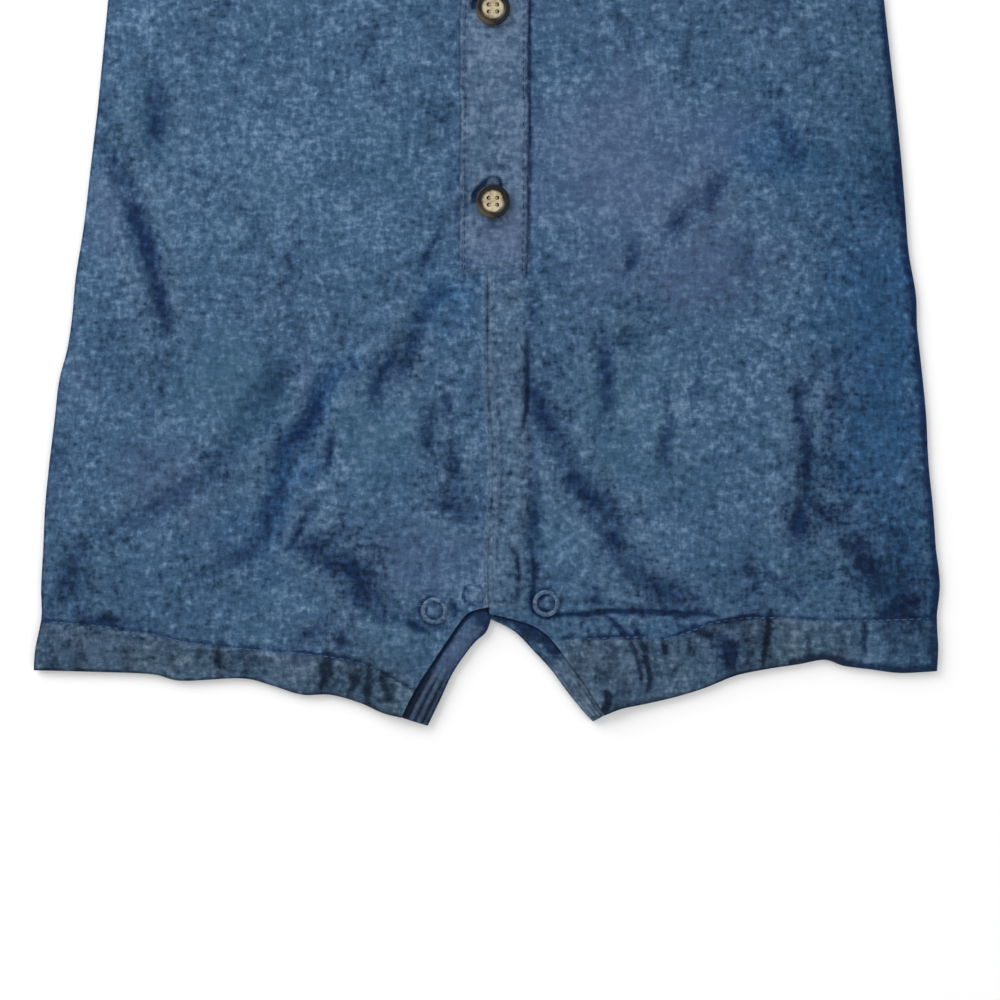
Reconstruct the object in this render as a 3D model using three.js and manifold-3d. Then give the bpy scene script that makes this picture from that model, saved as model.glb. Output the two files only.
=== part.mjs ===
// A baby's chambray romper with short sleeves and short legs, laid flat on its back.
// Millimetres, +Z up, neck towards +Y, and +X is the wearer's left. It is drawn with
// the crotch point at x 0, y 0 and is moved at the end, so that the origin lies under
// the middle of the whole garment, on the surface that it rests on.

import * as THREE from "three";
import { mergeVertices } from "three/addons/utils/BufferGeometryUtils.js";
import Module from "manifold-3d";

const wasm = await Module();
wasm.setup();

// Driving dimensions

const CLOTH = 1.0; // wall of every cloth piece
const GAP = 0.3; // clear space at seams and between layers
const LAYER = CLOTH + GAP;
const BASE = LAYER; // height of the front's underside where it is sewn to the back
const LOFT = 2.5; // how far the front stands off the back in the middle
const LOFT_REACH = 15; // distance from a sewn edge over which it rises
const CALM_REACH = 7; // the folds die out this near to a sewn edge
const MOST_HEIGHT = 4.8; // the front's underside stays under this
const LAP_REACH = 11; // how far in the front is lifted by the underlap beneath it
const LAP_CLEARANCE = 0.15;
const FREE_REACH = 8; // the front lies down flat this near to its free inseam edge
const FOLD_END_SHARE = 0.25; // a fold's depth at its ends, as a share of its middle's
const STEEPEST_GAIN = 1.3; // most that a slope adds to the wall's upright thickness

const AXIS_X = 1.7; // middle line of the bodice, beside the crotch point
const CHEST = 250; // underarm to underarm
const UNDERARM_Y = 262;
const SHOULDERS = 202; // tip to tip
const SHOULDER_TIP_Y = 374;
const NECK_WIDTH = 110;
const NECK_SIDE_Y = 386;
const FRONT_NECK_Y = 338;
const BACK_NECK_Y = 374;
const LOWEST_Y = -38; // tip of the lower leg corner

const SLEEVE_TOP = 90; // shoulder tip to cuff, along the fold
const SLEEVE_CUFF = 82; // cuff width, laid flat
const SLEEVE_DROP = THREE.MathUtils.degToRad(20);

const PLACKET_WIDTH = 22.6;
const PLACKET_LOW_Y = 112;
const BINDING_WIDTH = 5;
const UNDERLAP_HIDDEN = 3.6; // how far the underlap runs on under the front
const UNDERLAP_ROLL = 1.2;
const HEM_RISE = 0.4; // the turned hem's extra thickness
const HEM_HIGHEST_Y = 8;
const BACK_INSET = 1.2; // the back's hem lies this far inside the front's

const BUTTON_RADIUS = 5.6;
const BUTTON_THICKNESS = 2.2;
const BUTTON_HOLE_RADIUS = 0.65;
const BUTTON_HOLE_SPACING = 2.8;
const BUTTON_LOW_Y = 136.3;
const BUTTON_SPACING = 64;
const BUTTON_COUNT = 4;
const BUTTON_X = 1.0;
const SNAP_OUTER = 4.6;
const SNAP_INNER = 2.9;
const SNAP_HEIGHT = 0.9;

const ACROSS = 20; // grid steps across half of the front, and of the back
const BACK_ACROSS = 10;
const BACK_LEG_STEPS = 5;
const BACK_BODY_STEPS = 8;
const BACK_CHEST_STEPS = 3;
const LEG_ROWS = [0, 0.12, 0.24, 0.35, 0.4, 0.52, 0.64, 0.76, 0.88, 1];
const BODY_STEPS = 21;
const CHEST_STEPS = 5;
const ARMHOLE_STEPS = 4; // rows below the neck point, then rows beside the neckline
const NECK_STEPS = 5;
const NECK_SHARE = 0.72; // the part of the armhole that lies below the front's neck

// Outlines, from the hem upwards or from the side inwards

const SIDE_OF_RIGHT_LEG = [
  { x: -152.3, y: -19.5 },
  { x: -151.8, y: -12.5 },
  { x: -149.8, y: -2 },
  { x: -149.9, y: 8 },
  { x: -149.2, y: 21 },
];
const SIDE_OF_RIGHT_BODY = [
  { x: -149.2, y: 21 },
  { x: -148.5, y: 36 },
  { x: -147, y: 51 },
  { x: -145.4, y: 64 },
  { x: -143.9, y: 77 },
  { x: -141.2, y: 87.5 },
  { x: -139.6, y: 98 },
  { x: -138.3, y: 112 },
  { x: -135.6, y: 129 },
  { x: -133.5, y: 147 },
  { x: -131, y: 168 },
];
const SIDE_OF_LEFT_LEG = [
  { x: 149.2, y: -19.8 },
  { x: 149.6, y: -12 },
  { x: 149.2, y: -2 },
  { x: 150.2, y: 9 },
  { x: 148.9, y: 21 },
];
const SIDE_OF_LEFT_BODY = [
  { x: 148.9, y: 21 },
  { x: 147.9, y: 35 },
  { x: 146.4, y: 50 },
  { x: 145.6, y: 66 },
  { x: 143.8, y: 84 },
  { x: 142.6, y: 95 },
  { x: 142.2, y: 106 },
  { x: 139.8, y: 120 },
  { x: 138.7, y: 134 },
  { x: 137.4, y: 150 },
  { x: 135.6, y: 168 },
];
const HEM_OF_RIGHT_LEG = [
  { x: -152.3, y: -19.5 },
  { x: -133, y: -20 },
  { x: -113, y: -20.8 },
  { x: -103, y: -23 },
  { x: -83, y: -22.2 },
  { x: -73, y: -24.5 },
  { x: -63, y: -27.6 },
  { x: -53, y: -27.7 },
  { x: -43, y: -30.5 },
  { x: -36, y: -33.6 },
  { x: -29.6, y: -35.2 },
];
const HEM_OF_LEFT_LEG = [
  { x: 149.2, y: -19.8 },
  { x: 137, y: -20.4 },
  { x: 127, y: -19.2 },
  { x: 118, y: -18 },
  { x: 111.7, y: -16 },
  { x: 103, y: -17.5 },
  { x: 93, y: -19 },
  { x: 82, y: -21.3 },
  { x: 72, y: -25.3 },
  { x: 62, y: -28.4 },
  { x: 52, y: -30.7 },
  { x: 44, y: -32.3 },
  { x: 38.2, y: -34.5 },
];
// The front's free edges between the legs
const INSEAM_OF_RIGHT_LEG = [
  { x: -29.6, y: -35.2 },
  { x: -24.9, y: -25.8 },
  { x: -18.8, y: -16.3 },
  { x: -12.7, y: -7.2 },
  { x: -9.7, y: -2.9 },
  { x: -6.6, y: 0.1 },
  { x: -0.6, y: 1.6 },
];
const INSEAM_OF_LEFT_LEG = [
  { x: 38.2, y: -34.5 },
  { x: 31.7, y: -24 },
  { x: 27.1, y: -17.8 },
  { x: 20, y: -8.7 },
  { x: 14.3, y: -4.6 },
  { x: 7.2, y: -2.3 },
  { x: -0.1, y: -0.6 },
];
// The back's inner edges, which show past the front's
const INNER_EDGE_OF_RIGHT_LEG = [
  { x: -20.8, y: LOWEST_Y },
  { x: -16.6, y: -29.3 },
  { x: -12.7, y: -20.9 },
  { x: -9, y: -15.2 },
  { x: -5.1, y: -10.2 },
  { x: -1.3, y: -6.7 },
  { x: 0.3, y: -2.4 },
];
const INNER_EDGE_OF_LEFT_LEG = [
  { x: 34.3, y: -36.6 },
  { x: 30.7, y: -32.7 },
  { x: 25.3, y: -26 },
  { x: 20.4, y: -19.3 },
  { x: 14.3, y: -12.7 },
  { x: 8, y: -6.4 },
  { x: 0.3, y: -2.4 },
];
// The centre front seam below the placket leans a little as it lies
const CENTRE_FRONT = [
  { x: -0.35, y: 0.5 },
  { x: -0.6, y: 20 },
  { x: 0.9, y: 42 },
  { x: 0.7, y: 58 },
  { x: -0.8, y: 105 },
  { x: AXIS_X, y: FRONT_NECK_Y },
];

// Folds: a soft trough along a bent line from one end by the middle to the other,
// with its half width and its depth. A depth under zero is a ridge.

const FOLDS = [
  { name: "right side, high", x0: -111, y0: 188, x1: -113, y1: 158, x2: -124, y2: 142, half: 7, depth: 1.0 },
  { name: "right side, long", x0: -124, y0: 147, x1: -115, y1: 121, x2: -105, y2: 89, half: 5.2, depth: 2.0 },
  { name: "right side, low", x0: -126, y0: 108, x1: -133, y1: 91, x2: -139, y2: 77, half: 5, depth: 0.7 },
  { name: "right hip", x0: -67.5, y0: 124, x1: -68, y1: 87, x2: -90, y2: 54, half: 6.5, depth: 1.2 },
  { name: "right thigh", x0: -55, y0: 78, x1: -66.5, y1: 56, x2: -76.5, y2: 16, half: 5.2, depth: 2.0 },
  { name: "below the button", x0: -13.5, y0: 137, x1: -21.5, y1: 119, x2: -31.5, y2: 105, half: 4, depth: 1.4 },
  { name: "from the placket end", x0: -12.5, y0: 116, x1: -26, y1: 96, x2: -41.5, y2: 67, half: 5.2, depth: 2.0 },
  { name: "right lap, short", x0: -57, y0: 39, x1: -62, y1: 28, x2: -69, y2: 19, half: 4, depth: 1.2 },
  { name: "right lap to crotch", x0: -65, y0: 24, x1: -47, y1: 11, x2: -19, y2: -6, half: 6, depth: 2.0 },
  { name: "beside the centre", x0: -14, y0: 78, x1: -20, y1: 54, x2: -7.5, y2: 26, half: 5.5, depth: 1.3 },
  { name: "right leg corner", x0: -137, y0: 28, x1: -143, y1: 10, x2: -134, y2: -2, half: 6, depth: 1.0 },
  { name: "left chest", x0: 78, y0: 153, x1: 70, y1: 137, x2: 60, y2: 122, half: 5, depth: 1.3 },
  { name: "left waist", x0: 49, y0: 131, x1: 45, y1: 114, x2: 36, y2: 99, half: 5.5, depth: 1.1 },
  { name: "left waist, level", x0: 34, y0: 101, x1: 46, y1: 99, x2: 58, y2: 103, half: 5, depth: 0.8 },
  { name: "left hip", x0: 38, y0: 98, x1: 41, y1: 80, x2: 36, y2: 56, half: 5, depth: 1.3 },
  { name: "left hip, thin", x0: 60, y0: 84, x1: 56, y1: 61, x2: 58, y2: 43, half: 4.2, depth: 1.0 },
  { name: "left thigh", x0: 106, y0: 92, x1: 101, y1: 57, x2: 105, y2: 15, half: 6, depth: 2.0 },
  { name: "left thigh, wide", x0: 107, y0: 50, x1: 117, y1: 31, x2: 121, y2: 12, half: 8, depth: 1.2 },
  { name: "along the seam band", x0: 12.6, y0: 106, x1: 11.6, y1: 60, x2: 14.8, y2: 3, half: 4.2, depth: 1.8 },
  { name: "left lap", x0: 16, y0: 77, x1: 31, y1: 44, x2: 54, y2: 1, half: 7.2, depth: 2.2 },
  { name: "over the left leg", x0: 19, y0: 0, x1: 50, y1: 1.5, x2: 97, y2: 3.5, half: 4.5, depth: 1.6 },
  { name: "left leg, wide", x0: 69, y0: 1, x1: 77, y1: -12, x2: 82, y2: -22, half: 6, depth: 1.3 },
  { name: "left leg, upright", x0: 94, y0: 3, x1: 94.5, y1: -9, x2: 92.5, y2: -19, half: 4, depth: 1.2 },
  { name: "left leg corner", x0: 126, y0: 7, x1: 137, y1: 12, x2: 149, y2: 4, half: 5, depth: 1.0 },
  { name: "right hem pucker, wide", x0: -51, y0: -13, x1: -54, y1: -20, x2: -55, y2: -28, half: 4.5, depth: 1.4 },
  { name: "right hem pucker", x0: -90, y0: -10, x1: -89.5, y1: -16, x2: -89, y2: -22, half: 4, depth: 0.8 },
  { name: "right hem pucker, low", x0: -118, y0: -8, x1: -117.5, y1: -14, x2: -117, y2: -20, half: 4, depth: 0.7 },
  { name: "left hem pucker, inner", x0: 45, y0: -4, x1: 51, y1: -16, x2: 52.5, y2: -30, half: 4, depth: 1.2 },
  { name: "left hem pucker", x0: 66, y0: -9, x1: 64, y1: -18, x2: 62, y2: -28, half: 4, depth: 1.0 },
  { name: "left hem pucker, outer", x0: 124.5, y0: -3, x1: 125, y1: -10, x2: 125, y2: -18, half: 4, depth: 0.9 },
  { name: "right underarm", x0: -118, y0: 262, x1: -98, y1: 238, x2: -84, y2: 205, half: 8, depth: 1.4 },
  { name: "left underarm", x0: 121, y0: 260, x1: 104, y1: 232, x2: 92, y2: 196, half: 8, depth: 1.4 },
  { name: "right chest", x0: -70, y0: 330, x1: -52, y1: 290, x2: -46, y2: 240, half: 8, depth: 1.0 },
  { name: "left chest, high", x0: 74, y0: 326, x1: 58, y1: 292, x2: 48, y2: 248, half: 8, depth: 1.0 },
  { name: "crest beside the hip", x0: -52, y0: 108, x1: -74, y1: 62, x2: -96, y2: 26, half: 7, depth: -0.7 },
  { name: "crest over the thigh", x0: -60, y0: 54, x1: -69, y1: 36, x2: -73, y2: 22, half: 4, depth: -0.5 },
  { name: "crest of the left thigh", x0: 84, y0: 92, x1: 80, y1: 60, x2: 84, y2: 24, half: 10, depth: -0.6 },
];

// Snap fasteners: a ring on the front, or only the bulge of one under the cloth
const SNAPS = [
  { name: "snap_ring_right", x: -18.5, y: 0.5, ring: true },
  { name: "snap_ring_left", x: 18.7, y: 3, ring: true },
  { name: "bulge by the crotch", x: -5.4, y: 5.9, ring: false },
  { name: "bulge at the right hem", x: -35.7, y: -26.3, ring: false },
];
const BULGE_RADIUS = 3.6;
const BULGE_HEIGHT = 0.8;

// Curves

const steps = (count) => Array.from({ length: count + 1 }, (_, i) => i / count);
const spline = (rows) =>
  new THREE.SplineCurve(rows.map(({ x, y }) => new THREE.Vector2(x, y)));
const line = (x0, y0, x1, y1) =>
  new THREE.LineCurve(new THREE.Vector2(x0, y0), new THREE.Vector2(x1, y1));
const bezier = (...points) =>
  new THREE.CubicBezierCurve(...points.map(([x, y]) => new THREE.Vector2(x, y)));

// Armhole of one side, from the underarm up to the shoulder tip; side is -1 or 1
function armhole(side) {
  const at = (halfWidth, y) => [AXIS_X + side * halfWidth, y];
  return bezier(
    at(CHEST / 2, UNDERARM_Y),
    at(CHEST / 2 - 23, UNDERARM_Y + 5),
    at(SHOULDERS / 2 - 7, UNDERARM_Y + 40),
    at(SHOULDERS / 2, SHOULDER_TIP_Y),
  );
}

const shoulderSeam = (side) =>
  line(
    AXIS_X + (side * SHOULDERS) / 2,
    SHOULDER_TIP_Y,
    AXIS_X + (side * NECK_WIDTH) / 2,
    NECK_SIDE_Y,
  );

// Neckline of one side, from the centre up to the shoulder
function neckline(side, centreX, centreY) {
  const drop = NECK_SIDE_Y - centreY;
  const half = NECK_WIDTH / 2;
  return bezier(
    [centreX, centreY],
    [AXIS_X + side * half * 0.6, centreY],
    [AXIS_X + side * half * 0.96, centreY + drop * 0.3],
    [AXIS_X + side * half, NECK_SIDE_Y],
  );
}

function sideToUnderarm(bodyRows, side) {
  const top = bodyRows.at(-1);
  const underarm = AXIS_X + (side * CHEST) / 2;
  return spline([
    top,
    { x: THREE.MathUtils.lerp(top.x, underarm, 0.45), y: 204 },
    { x: THREE.MathUtils.lerp(top.x, underarm, 0.8), y: 234 },
    { x: underarm, y: UNDERARM_Y },
  ]);
}

const centreFront = spline(CENTRE_FRONT);

// Where the centre front seam is at a height, half a seam gap to one side of it
function centreFrontX(y, side) {
  const rows = CENTRE_FRONT;
  const next = rows.findIndex((row) => row.y > y);
  const i = next < 0 ? rows.length - 1 : Math.max(1, next);
  const t = THREE.MathUtils.inverseLerp(rows[i - 1].y, rows[i].y, y);
  const x = THREE.MathUtils.lerp(rows[i - 1].x, rows[i].x, THREE.MathUtils.clamp(t, 0, 1));
  return x + (side * GAP) / 2;
}

// The halves of the garment: wearer's right is -X, left is +X

const HALVES = [
  {
    name: "right",
    side: -1,
    legSide: SIDE_OF_RIGHT_LEG,
    bodySide: SIDE_OF_RIGHT_BODY,
    hem: HEM_OF_RIGHT_LEG,
    inseam: INSEAM_OF_RIGHT_LEG,
    innerEdge: INNER_EDGE_OF_RIGHT_LEG,
    hemHeight: 14,
  },
  {
    name: "left",
    side: 1,
    legSide: SIDE_OF_LEFT_LEG,
    bodySide: SIDE_OF_LEFT_BODY,
    hem: HEM_OF_LEFT_LEG,
    inseam: INSEAM_OF_LEFT_LEG,
    innerEdge: INNER_EDGE_OF_LEFT_LEG,
    hemHeight: 18,
  },
];

// Distances to outlines, for the front's height

const EDGE_STEPS = 30;
const sampled = (curve) => curve.getSpacedPoints(EDGE_STEPS);
const sewnEdges = HALVES.flatMap((half) =>
  [
    spline(half.legSide),
    spline(half.bodySide),
    sideToUnderarm(half.bodySide, half.side),
    armhole(half.side),
    shoulderSeam(half.side),
    neckline(half.side, AXIS_X, FRONT_NECK_Y),
    spline(half.hem),
  ].map(sampled),
);
const inseamEdges = HALVES.map((half) => sampled(spline(half.inseam)));
const hemEdges = HALVES.map((half) => ({
  points: sampled(spline(half.hem)),
  height: half.hemHeight,
}));
const foldLines = FOLDS.map((fold) => ({
  ...fold,
  points: new THREE.QuadraticBezierCurve(
    new THREE.Vector2(fold.x0, fold.y0),
    new THREE.Vector2(fold.x1, fold.y1),
    new THREE.Vector2(fold.x2, fold.y2),
  ).getPoints(14),
}));

// Nearest place on a line of points: how far away it is, and how far along, 0 to 1
function nearest(points, x, y) {
  let best = Infinity;
  let along = 0;
  for (let i = 1; i < points.length; i++) {
    const a = points[i - 1];
    const dx = points[i].x - a.x;
    const dy = points[i].y - a.y;
    const raw = ((x - a.x) * dx + (y - a.y) * dy) / (dx * dx + dy * dy);
    const t = THREE.MathUtils.clamp(raw, 0, 1);
    const away = Math.hypot(x - a.x - t * dx, y - a.y - t * dy);
    if (away < best) {
      best = away;
      along = (i - 1 + t) / (points.length - 1);
    }
  }
  return { away: best, along };
}

const distanceToAny = (lines, x, y) =>
  Math.min(...lines.map((points) => nearest(points, x, y).away));
const bell = (away, halfWidth) => Math.exp(-((away / halfWidth) ** 2));

function foldsAt(x, y) {
  return foldLines.reduce((sum, fold) => {
    const { away, along } = nearest(fold.points, x, y);
    const middle = Math.sin(Math.PI * along) ** 0.7;
    const taper = THREE.MathUtils.lerp(FOLD_END_SHARE, 1, middle);
    return sum - fold.depth * taper * bell(away, fold.half);
  }, 0);
}

// Height of the front's underside above the surface
function frontUnderside(x, y) {
  const fromSewn = distanceToAny(sewnEdges, x, y);
  const fromInseam = distanceToAny(inseamEdges, x, y);
  const free = 1 - bell(fromInseam, FREE_REACH);
  const rise = LOFT * (1 - bell(fromSewn, LOFT_REACH)) * free;
  const overUnderlap = (LAYER + LAP_CLEARANCE) * bell(fromInseam, LAP_REACH);
  const folds = foldsAt(x, y) * (1 - bell(fromSewn, CALM_REACH)) * free;
  const bulges = SNAPS.filter((snap) => !snap.ring).reduce(
    (sum, snap) => sum + BULGE_HEIGHT * bell(Math.hypot(x - snap.x, y - snap.y), BULGE_RADIUS),
    0,
  );
  const height = BASE + overUnderlap + Math.max(rise + folds, 0) + bulges;
  return Math.min(height, MOST_HEIGHT);
}

// Vertical thickness that keeps the wall's true thickness on a slope
function wallThickness(x, y, heightAt) {
  const step = 0.5;
  const slopeX = (heightAt(x + step, y) - heightAt(x - step, y)) / (2 * step);
  const slopeY = (heightAt(x, y + step) - heightAt(x, y - step)) / (2 * step);
  return CLOTH * Math.min(STEEPEST_GAIN, Math.hypot(1, slopeX, slopeY));
}

function hemExtra(x, y) {
  const inHem = hemEdges.some(({ points, height }) => nearest(points, x, y).away < height);
  return inHem && y < HEM_HIGHEST_Y ? HEM_RISE : 0;
}

const frontTop = (x, y) =>
  frontUnderside(x, y) + wallThickness(x, y, frontUnderside) + hemExtra(x, y);

// Solids between two height sheets over one grid of plan points

const lift = (plan, heightAt) =>
  plan.map((row) => row.map(({ x, y }) => new THREE.Vector3(x, y, heightAt(x, y))));

function planArea(plan) {
  const ring = [
    ...plan[0],
    ...plan.slice(1).map((row) => row.at(-1)),
    ...plan.at(-1).slice(0, -1).reverse(),
    ...plan.slice(1, -1).map((row) => row[0]).reverse(),
  ];
  return THREE.ShapeUtils.area(ring);
}

// A closed wall between a lower and an upper grid of the same size
function wall(lowerGrid, upperGrid) {
  const turned = planArea(lowerGrid) < 0;
  const order = (grid) => (turned ? grid.map((row) => [...row].reverse()) : grid);
  const lower = order(lowerGrid);
  const upper = order(upperGrid);
  const rows = lower.length;
  const columns = lower[0].length;
  const positions = [...lower.flat(), ...upper.flat()].flatMap((p) => [p.x, p.y, p.z]);
  const low = (r, c) => r * columns + c;
  const high = (r, c) => rows * columns + low(r, c);
  const index = [];
  const quad = (a, b, c, d) => index.push(a, b, c, a, c, d);
  for (let r = 0; r < rows - 1; r++)
    for (let c = 0; c < columns - 1; c++) {
      quad(high(r, c), high(r, c + 1), high(r + 1, c + 1), high(r + 1, c));
      quad(low(r, c), low(r + 1, c), low(r + 1, c + 1), low(r, c + 1));
    }
  const last = columns - 1;
  for (let c = 0; c < last; c++) {
    quad(low(0, c), low(0, c + 1), high(0, c + 1), high(0, c));
    quad(low(rows - 1, c + 1), low(rows - 1, c), high(rows - 1, c), high(rows - 1, c + 1));
  }
  for (let r = 0; r < rows - 1; r++) {
    quad(low(r + 1, 0), low(r, 0), high(r, 0), high(r + 1, 0));
    quad(low(r, last), low(r + 1, last), high(r + 1, last), high(r, last));
  }
  const geometry = new THREE.BufferGeometry();
  geometry.setAttribute("position", new THREE.Float32BufferAttribute(positions, 3));
  geometry.setIndex(index);
  return geometry;
}

// Joins and cuts

function toSolid(geometry) {
  const bare = geometry.clone();
  bare.deleteAttribute("normal");
  bare.deleteAttribute("uv");
  const merged = mergeVertices(bare, 1e-4);
  return new wasm.Manifold(
    new wasm.Mesh({
      numProp: 3,
      vertProperties: merged.getAttribute("position").array,
      triVerts: new Uint32Array(merged.index.array),
    }),
  );
}

function toGeometry(solid) {
  const mesh = solid.getMesh();
  const geometry = new THREE.BufferGeometry();
  geometry.setAttribute("position", new THREE.BufferAttribute(mesh.vertProperties, 3));
  geometry.setIndex(new THREE.BufferAttribute(mesh.triVerts, 1));
  return geometry;
}

// Plan grids

// Places along the armhole that front, back and sleeve share, from the underarm up
const ARMHOLE_PLACES = [
  ...steps(ARMHOLE_STEPS).map((t) => t * NECK_SHARE),
  ...steps(NECK_STEPS).slice(1).map((t) => NECK_SHARE + t * (1 - NECK_SHARE)),
];

// Rows of a half panel, each from its side to its middle. The hem's and the top's own
// shapes fade out over the rows next to them.
function planOf(rows, across, hem, hemReach, top, topReach) {
  const columns = steps(across);
  const hemBend = bendOf(hem);
  const topBend = bendOf(top);
  return rows.map(({ side, mid }, r) => {
    const hemShare = Math.max(0, 1 - r / hemReach) ** 2;
    const topShare = Math.max(0, 1 - (rows.length - 1 - r) / topReach) ** 2;
    return columns.map((u) =>
      side
        .clone()
        .lerp(mid, u)
        .addScaledVector(hemBend(u), hemShare)
        .addScaledVector(topBend(u), topShare),
    );
  });
}

// How far a curve bends away from the straight line between its ends
function bendOf(curve) {
  const first = curve.getPointAt(0);
  const last = curve.getPointAt(1);
  return (u) => curve.getPointAt(u).clone().sub(first.clone().lerp(last, u));
}

function rowsAlong(sideCurve, midCurve, places) {
  return places.map((t) => ({ side: sideCurve.getPointAt(t), mid: midCurve.getPointAt(t) }));
}

const joinRows = (...parts) => parts.flatMap((rows, i) => (i ? rows.slice(1) : rows));

// One front panel

function frontPlan(half) {
  const { side } = half;
  const chestSide = sideToUnderarm(half.bodySide, side);
  const seam = (low, high) => ({
    getPointAt: (t) => {
      const y = THREE.MathUtils.lerp(low, high, t);
      return new THREE.Vector2(centreFrontX(y, side), y);
    },
  });
  const crotchY = half.inseam.at(-1).y;
  const chestY = half.bodySide.at(-1).y;
  const hole = armhole(side);
  const lowHole = { getPointAt: (t) => hole.getPointAt(t * NECK_SHARE) };
  const highHole = { getPointAt: (t) => hole.getPointAt(NECK_SHARE + t * (1 - NECK_SHARE)) };
  const neck = neckline(side, centreFrontX(FRONT_NECK_Y, side), FRONT_NECK_Y);
  const rows = joinRows(
    rowsAlong(spline(half.legSide), spline(half.inseam), LEG_ROWS),
    rowsAlong(spline(half.bodySide), seam(crotchY, chestY), steps(BODY_STEPS)),
    rowsAlong(chestSide, seam(chestY, UNDERARM_Y), steps(CHEST_STEPS)),
    rowsAlong(lowHole, seam(UNDERARM_Y, FRONT_NECK_Y), steps(ARMHOLE_STEPS)),
    rowsAlong(highHole, neck, steps(NECK_STEPS)),
  );
  return planOf(rows, ACROSS, spline(half.hem), LEG_ROWS.length, shoulderSeam(side), 1);
}

function frontPanel(half) {
  const plan = frontPlan(half);
  return wall(lift(plan, frontUnderside), lift(plan, frontTop));
}

// The back: two halves that share the points of the centre line, joined

function backHalf(half) {
  const { side } = half;
  const inset = half.hem.map(({ x, y }) => ({ x, y: y + BACK_INSET }));
  const hem = spline([...inset.slice(0, -1), half.innerEdge[0]]);
  const legSide = spline([inset[0], ...half.legSide.slice(1)]);
  const bottom = half.innerEdge.at(-1);
  const centre = (low, high) =>
    line(centreBackX(low, bottom), low, centreBackX(high, bottom), high);
  const chestY = half.bodySide.at(-1).y;
  const chestSide = sideToUnderarm(half.bodySide, side);
  const rows = joinRows(
    rowsAlong(legSide, spline(half.innerEdge), steps(BACK_LEG_STEPS)),
    rowsAlong(spline(half.bodySide), centre(bottom.y, chestY), steps(BACK_BODY_STEPS)),
    rowsAlong(chestSide, centre(chestY, UNDERARM_Y), steps(BACK_CHEST_STEPS)),
    rowsAlong(armhole(side), centre(UNDERARM_Y, BACK_NECK_Y), ARMHOLE_PLACES),
  );
  const plan = planOf(rows, BACK_ACROSS, hem, BACK_LEG_STEPS, topOfBack(side), NECK_STEPS);
  return wall(lift(plan, () => 0), lift(plan, () => CLOTH));
}

const centreBackX = (y, bottom) =>
  THREE.MathUtils.mapLinear(y, bottom.y, BACK_NECK_Y, bottom.x, AXIS_X);

// The back's top edge: shoulder seam, then neckline
function topOfBack(side) {
  const path = new THREE.CurvePath();
  path.add(shoulderSeam(side));
  const neck = neckline(side, AXIS_X, BACK_NECK_Y).getSpacedPoints(8).reverse();
  path.add(new THREE.SplineCurve(neck));
  return path;
}

function backPanel() {
  const [right, left] = HALVES.map((half) => toSolid(backHalf(half)));
  return toGeometry(right.add(left));
}

// The back's underlap, rolled over each inner leg edge and in under the front

const LAST_LAP = 0.97; // the bands stop just short of the front's crotch point
const FULL_ROLL_WIDTH = 7; // a band this wide rolls to its full height

function underlapPlan(half, rows = 10, columns = 7) {
  const outer = spline(half.innerEdge);
  const front = spline(half.inseam);
  return steps(rows).map((t) => {
    const edge = outer.getPointAt(t);
    const lap = front.getPointAt(Math.min(t, LAST_LAP));
    const inward = lap.clone().sub(edge);
    const visible = inward.length();
    inward.setLength(visible + UNDERLAP_HIDDEN);
    return steps(columns).map((u) => ({
      x: edge.x + inward.x * u,
      y: edge.y + inward.y * u,
      share: Math.min(1, (u * (visible + UNDERLAP_HIDDEN)) / visible),
      roll: Math.min(1, visible / FULL_ROLL_WIDTH),
    }));
  });
}

function underlap(half) {
  const plan = underlapPlan(half);
  const bottom = ({ share, roll }) => BASE + UNDERLAP_ROLL * roll * Math.sin(Math.PI * share);
  const sheet = (extra) =>
    plan.map((row) => row.map((p) => new THREE.Vector3(p.x, p.y, bottom(p) + extra)));
  return wall(sheet(0), sheet(CLOTH));
}

// Placket and neck bindings lie on the panels, one gap above them

function stripOn(plan, topOfPanel) {
  const under = (x, y) => topOfPanel(x, y) + GAP;
  return wall(
    lift(plan, under),
    lift(plan, (x, y) => under(x, y) + wallThickness(x, y, under)),
  );
}

// The placket bridges the seam gap under it, so it rests on the higher of two sides
const placketBed = (x, y) => Math.max(...[-2, 0, 2].map((n) => frontTop(x + n * GAP, y)));

function placket(rows = 28, columns = 4) {
  const lean = -0.8; // its lower end lies a little to the wearer's right
  const plan = steps(rows).map((t) =>
    steps(columns).map((u) => ({
      x: AXIS_X + PLACKET_WIDTH * (u - 0.5) + lean * (1 - t),
      y: THREE.MathUtils.lerp(PLACKET_LOW_Y, FRONT_NECK_Y, t),
    })),
  );
  return stripOn(plan, placketBed);
}

function bindingPlan(curve, from, to, rows) {
  const clearOfEdge = 0.2;
  return steps(rows).map((t) => {
    const at = THREE.MathUtils.lerp(from, to, t);
    const p = curve.getPointAt(at);
    const tangent = curve.getTangentAt(at);
    const sign = tangent.x < 0 ? -1 : 1; // away from the neck
    return [clearOfEdge, BINDING_WIDTH / 2, BINDING_WIDTH].map((off) => ({
      x: p.x + sign * tangent.y * off,
      y: p.y - sign * tangent.x * off,
    }));
  });
}

// It starts beside the placket, found by walking along the neckline
function frontBinding(half) {
  const curve = neckline(half.side, AXIS_X, FRONT_NECK_Y);
  const besidePlacket = PLACKET_WIDTH / 2 + 2 * GAP;
  const start = steps(200).find(
    (t) => Math.abs(curve.getPointAt(t).x - AXIS_X) > besidePlacket,
  );
  const end = 0.985; // just short of the shoulder seam
  return stripOn(bindingPlan(curve, start, end, 12), frontTop);
}

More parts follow.
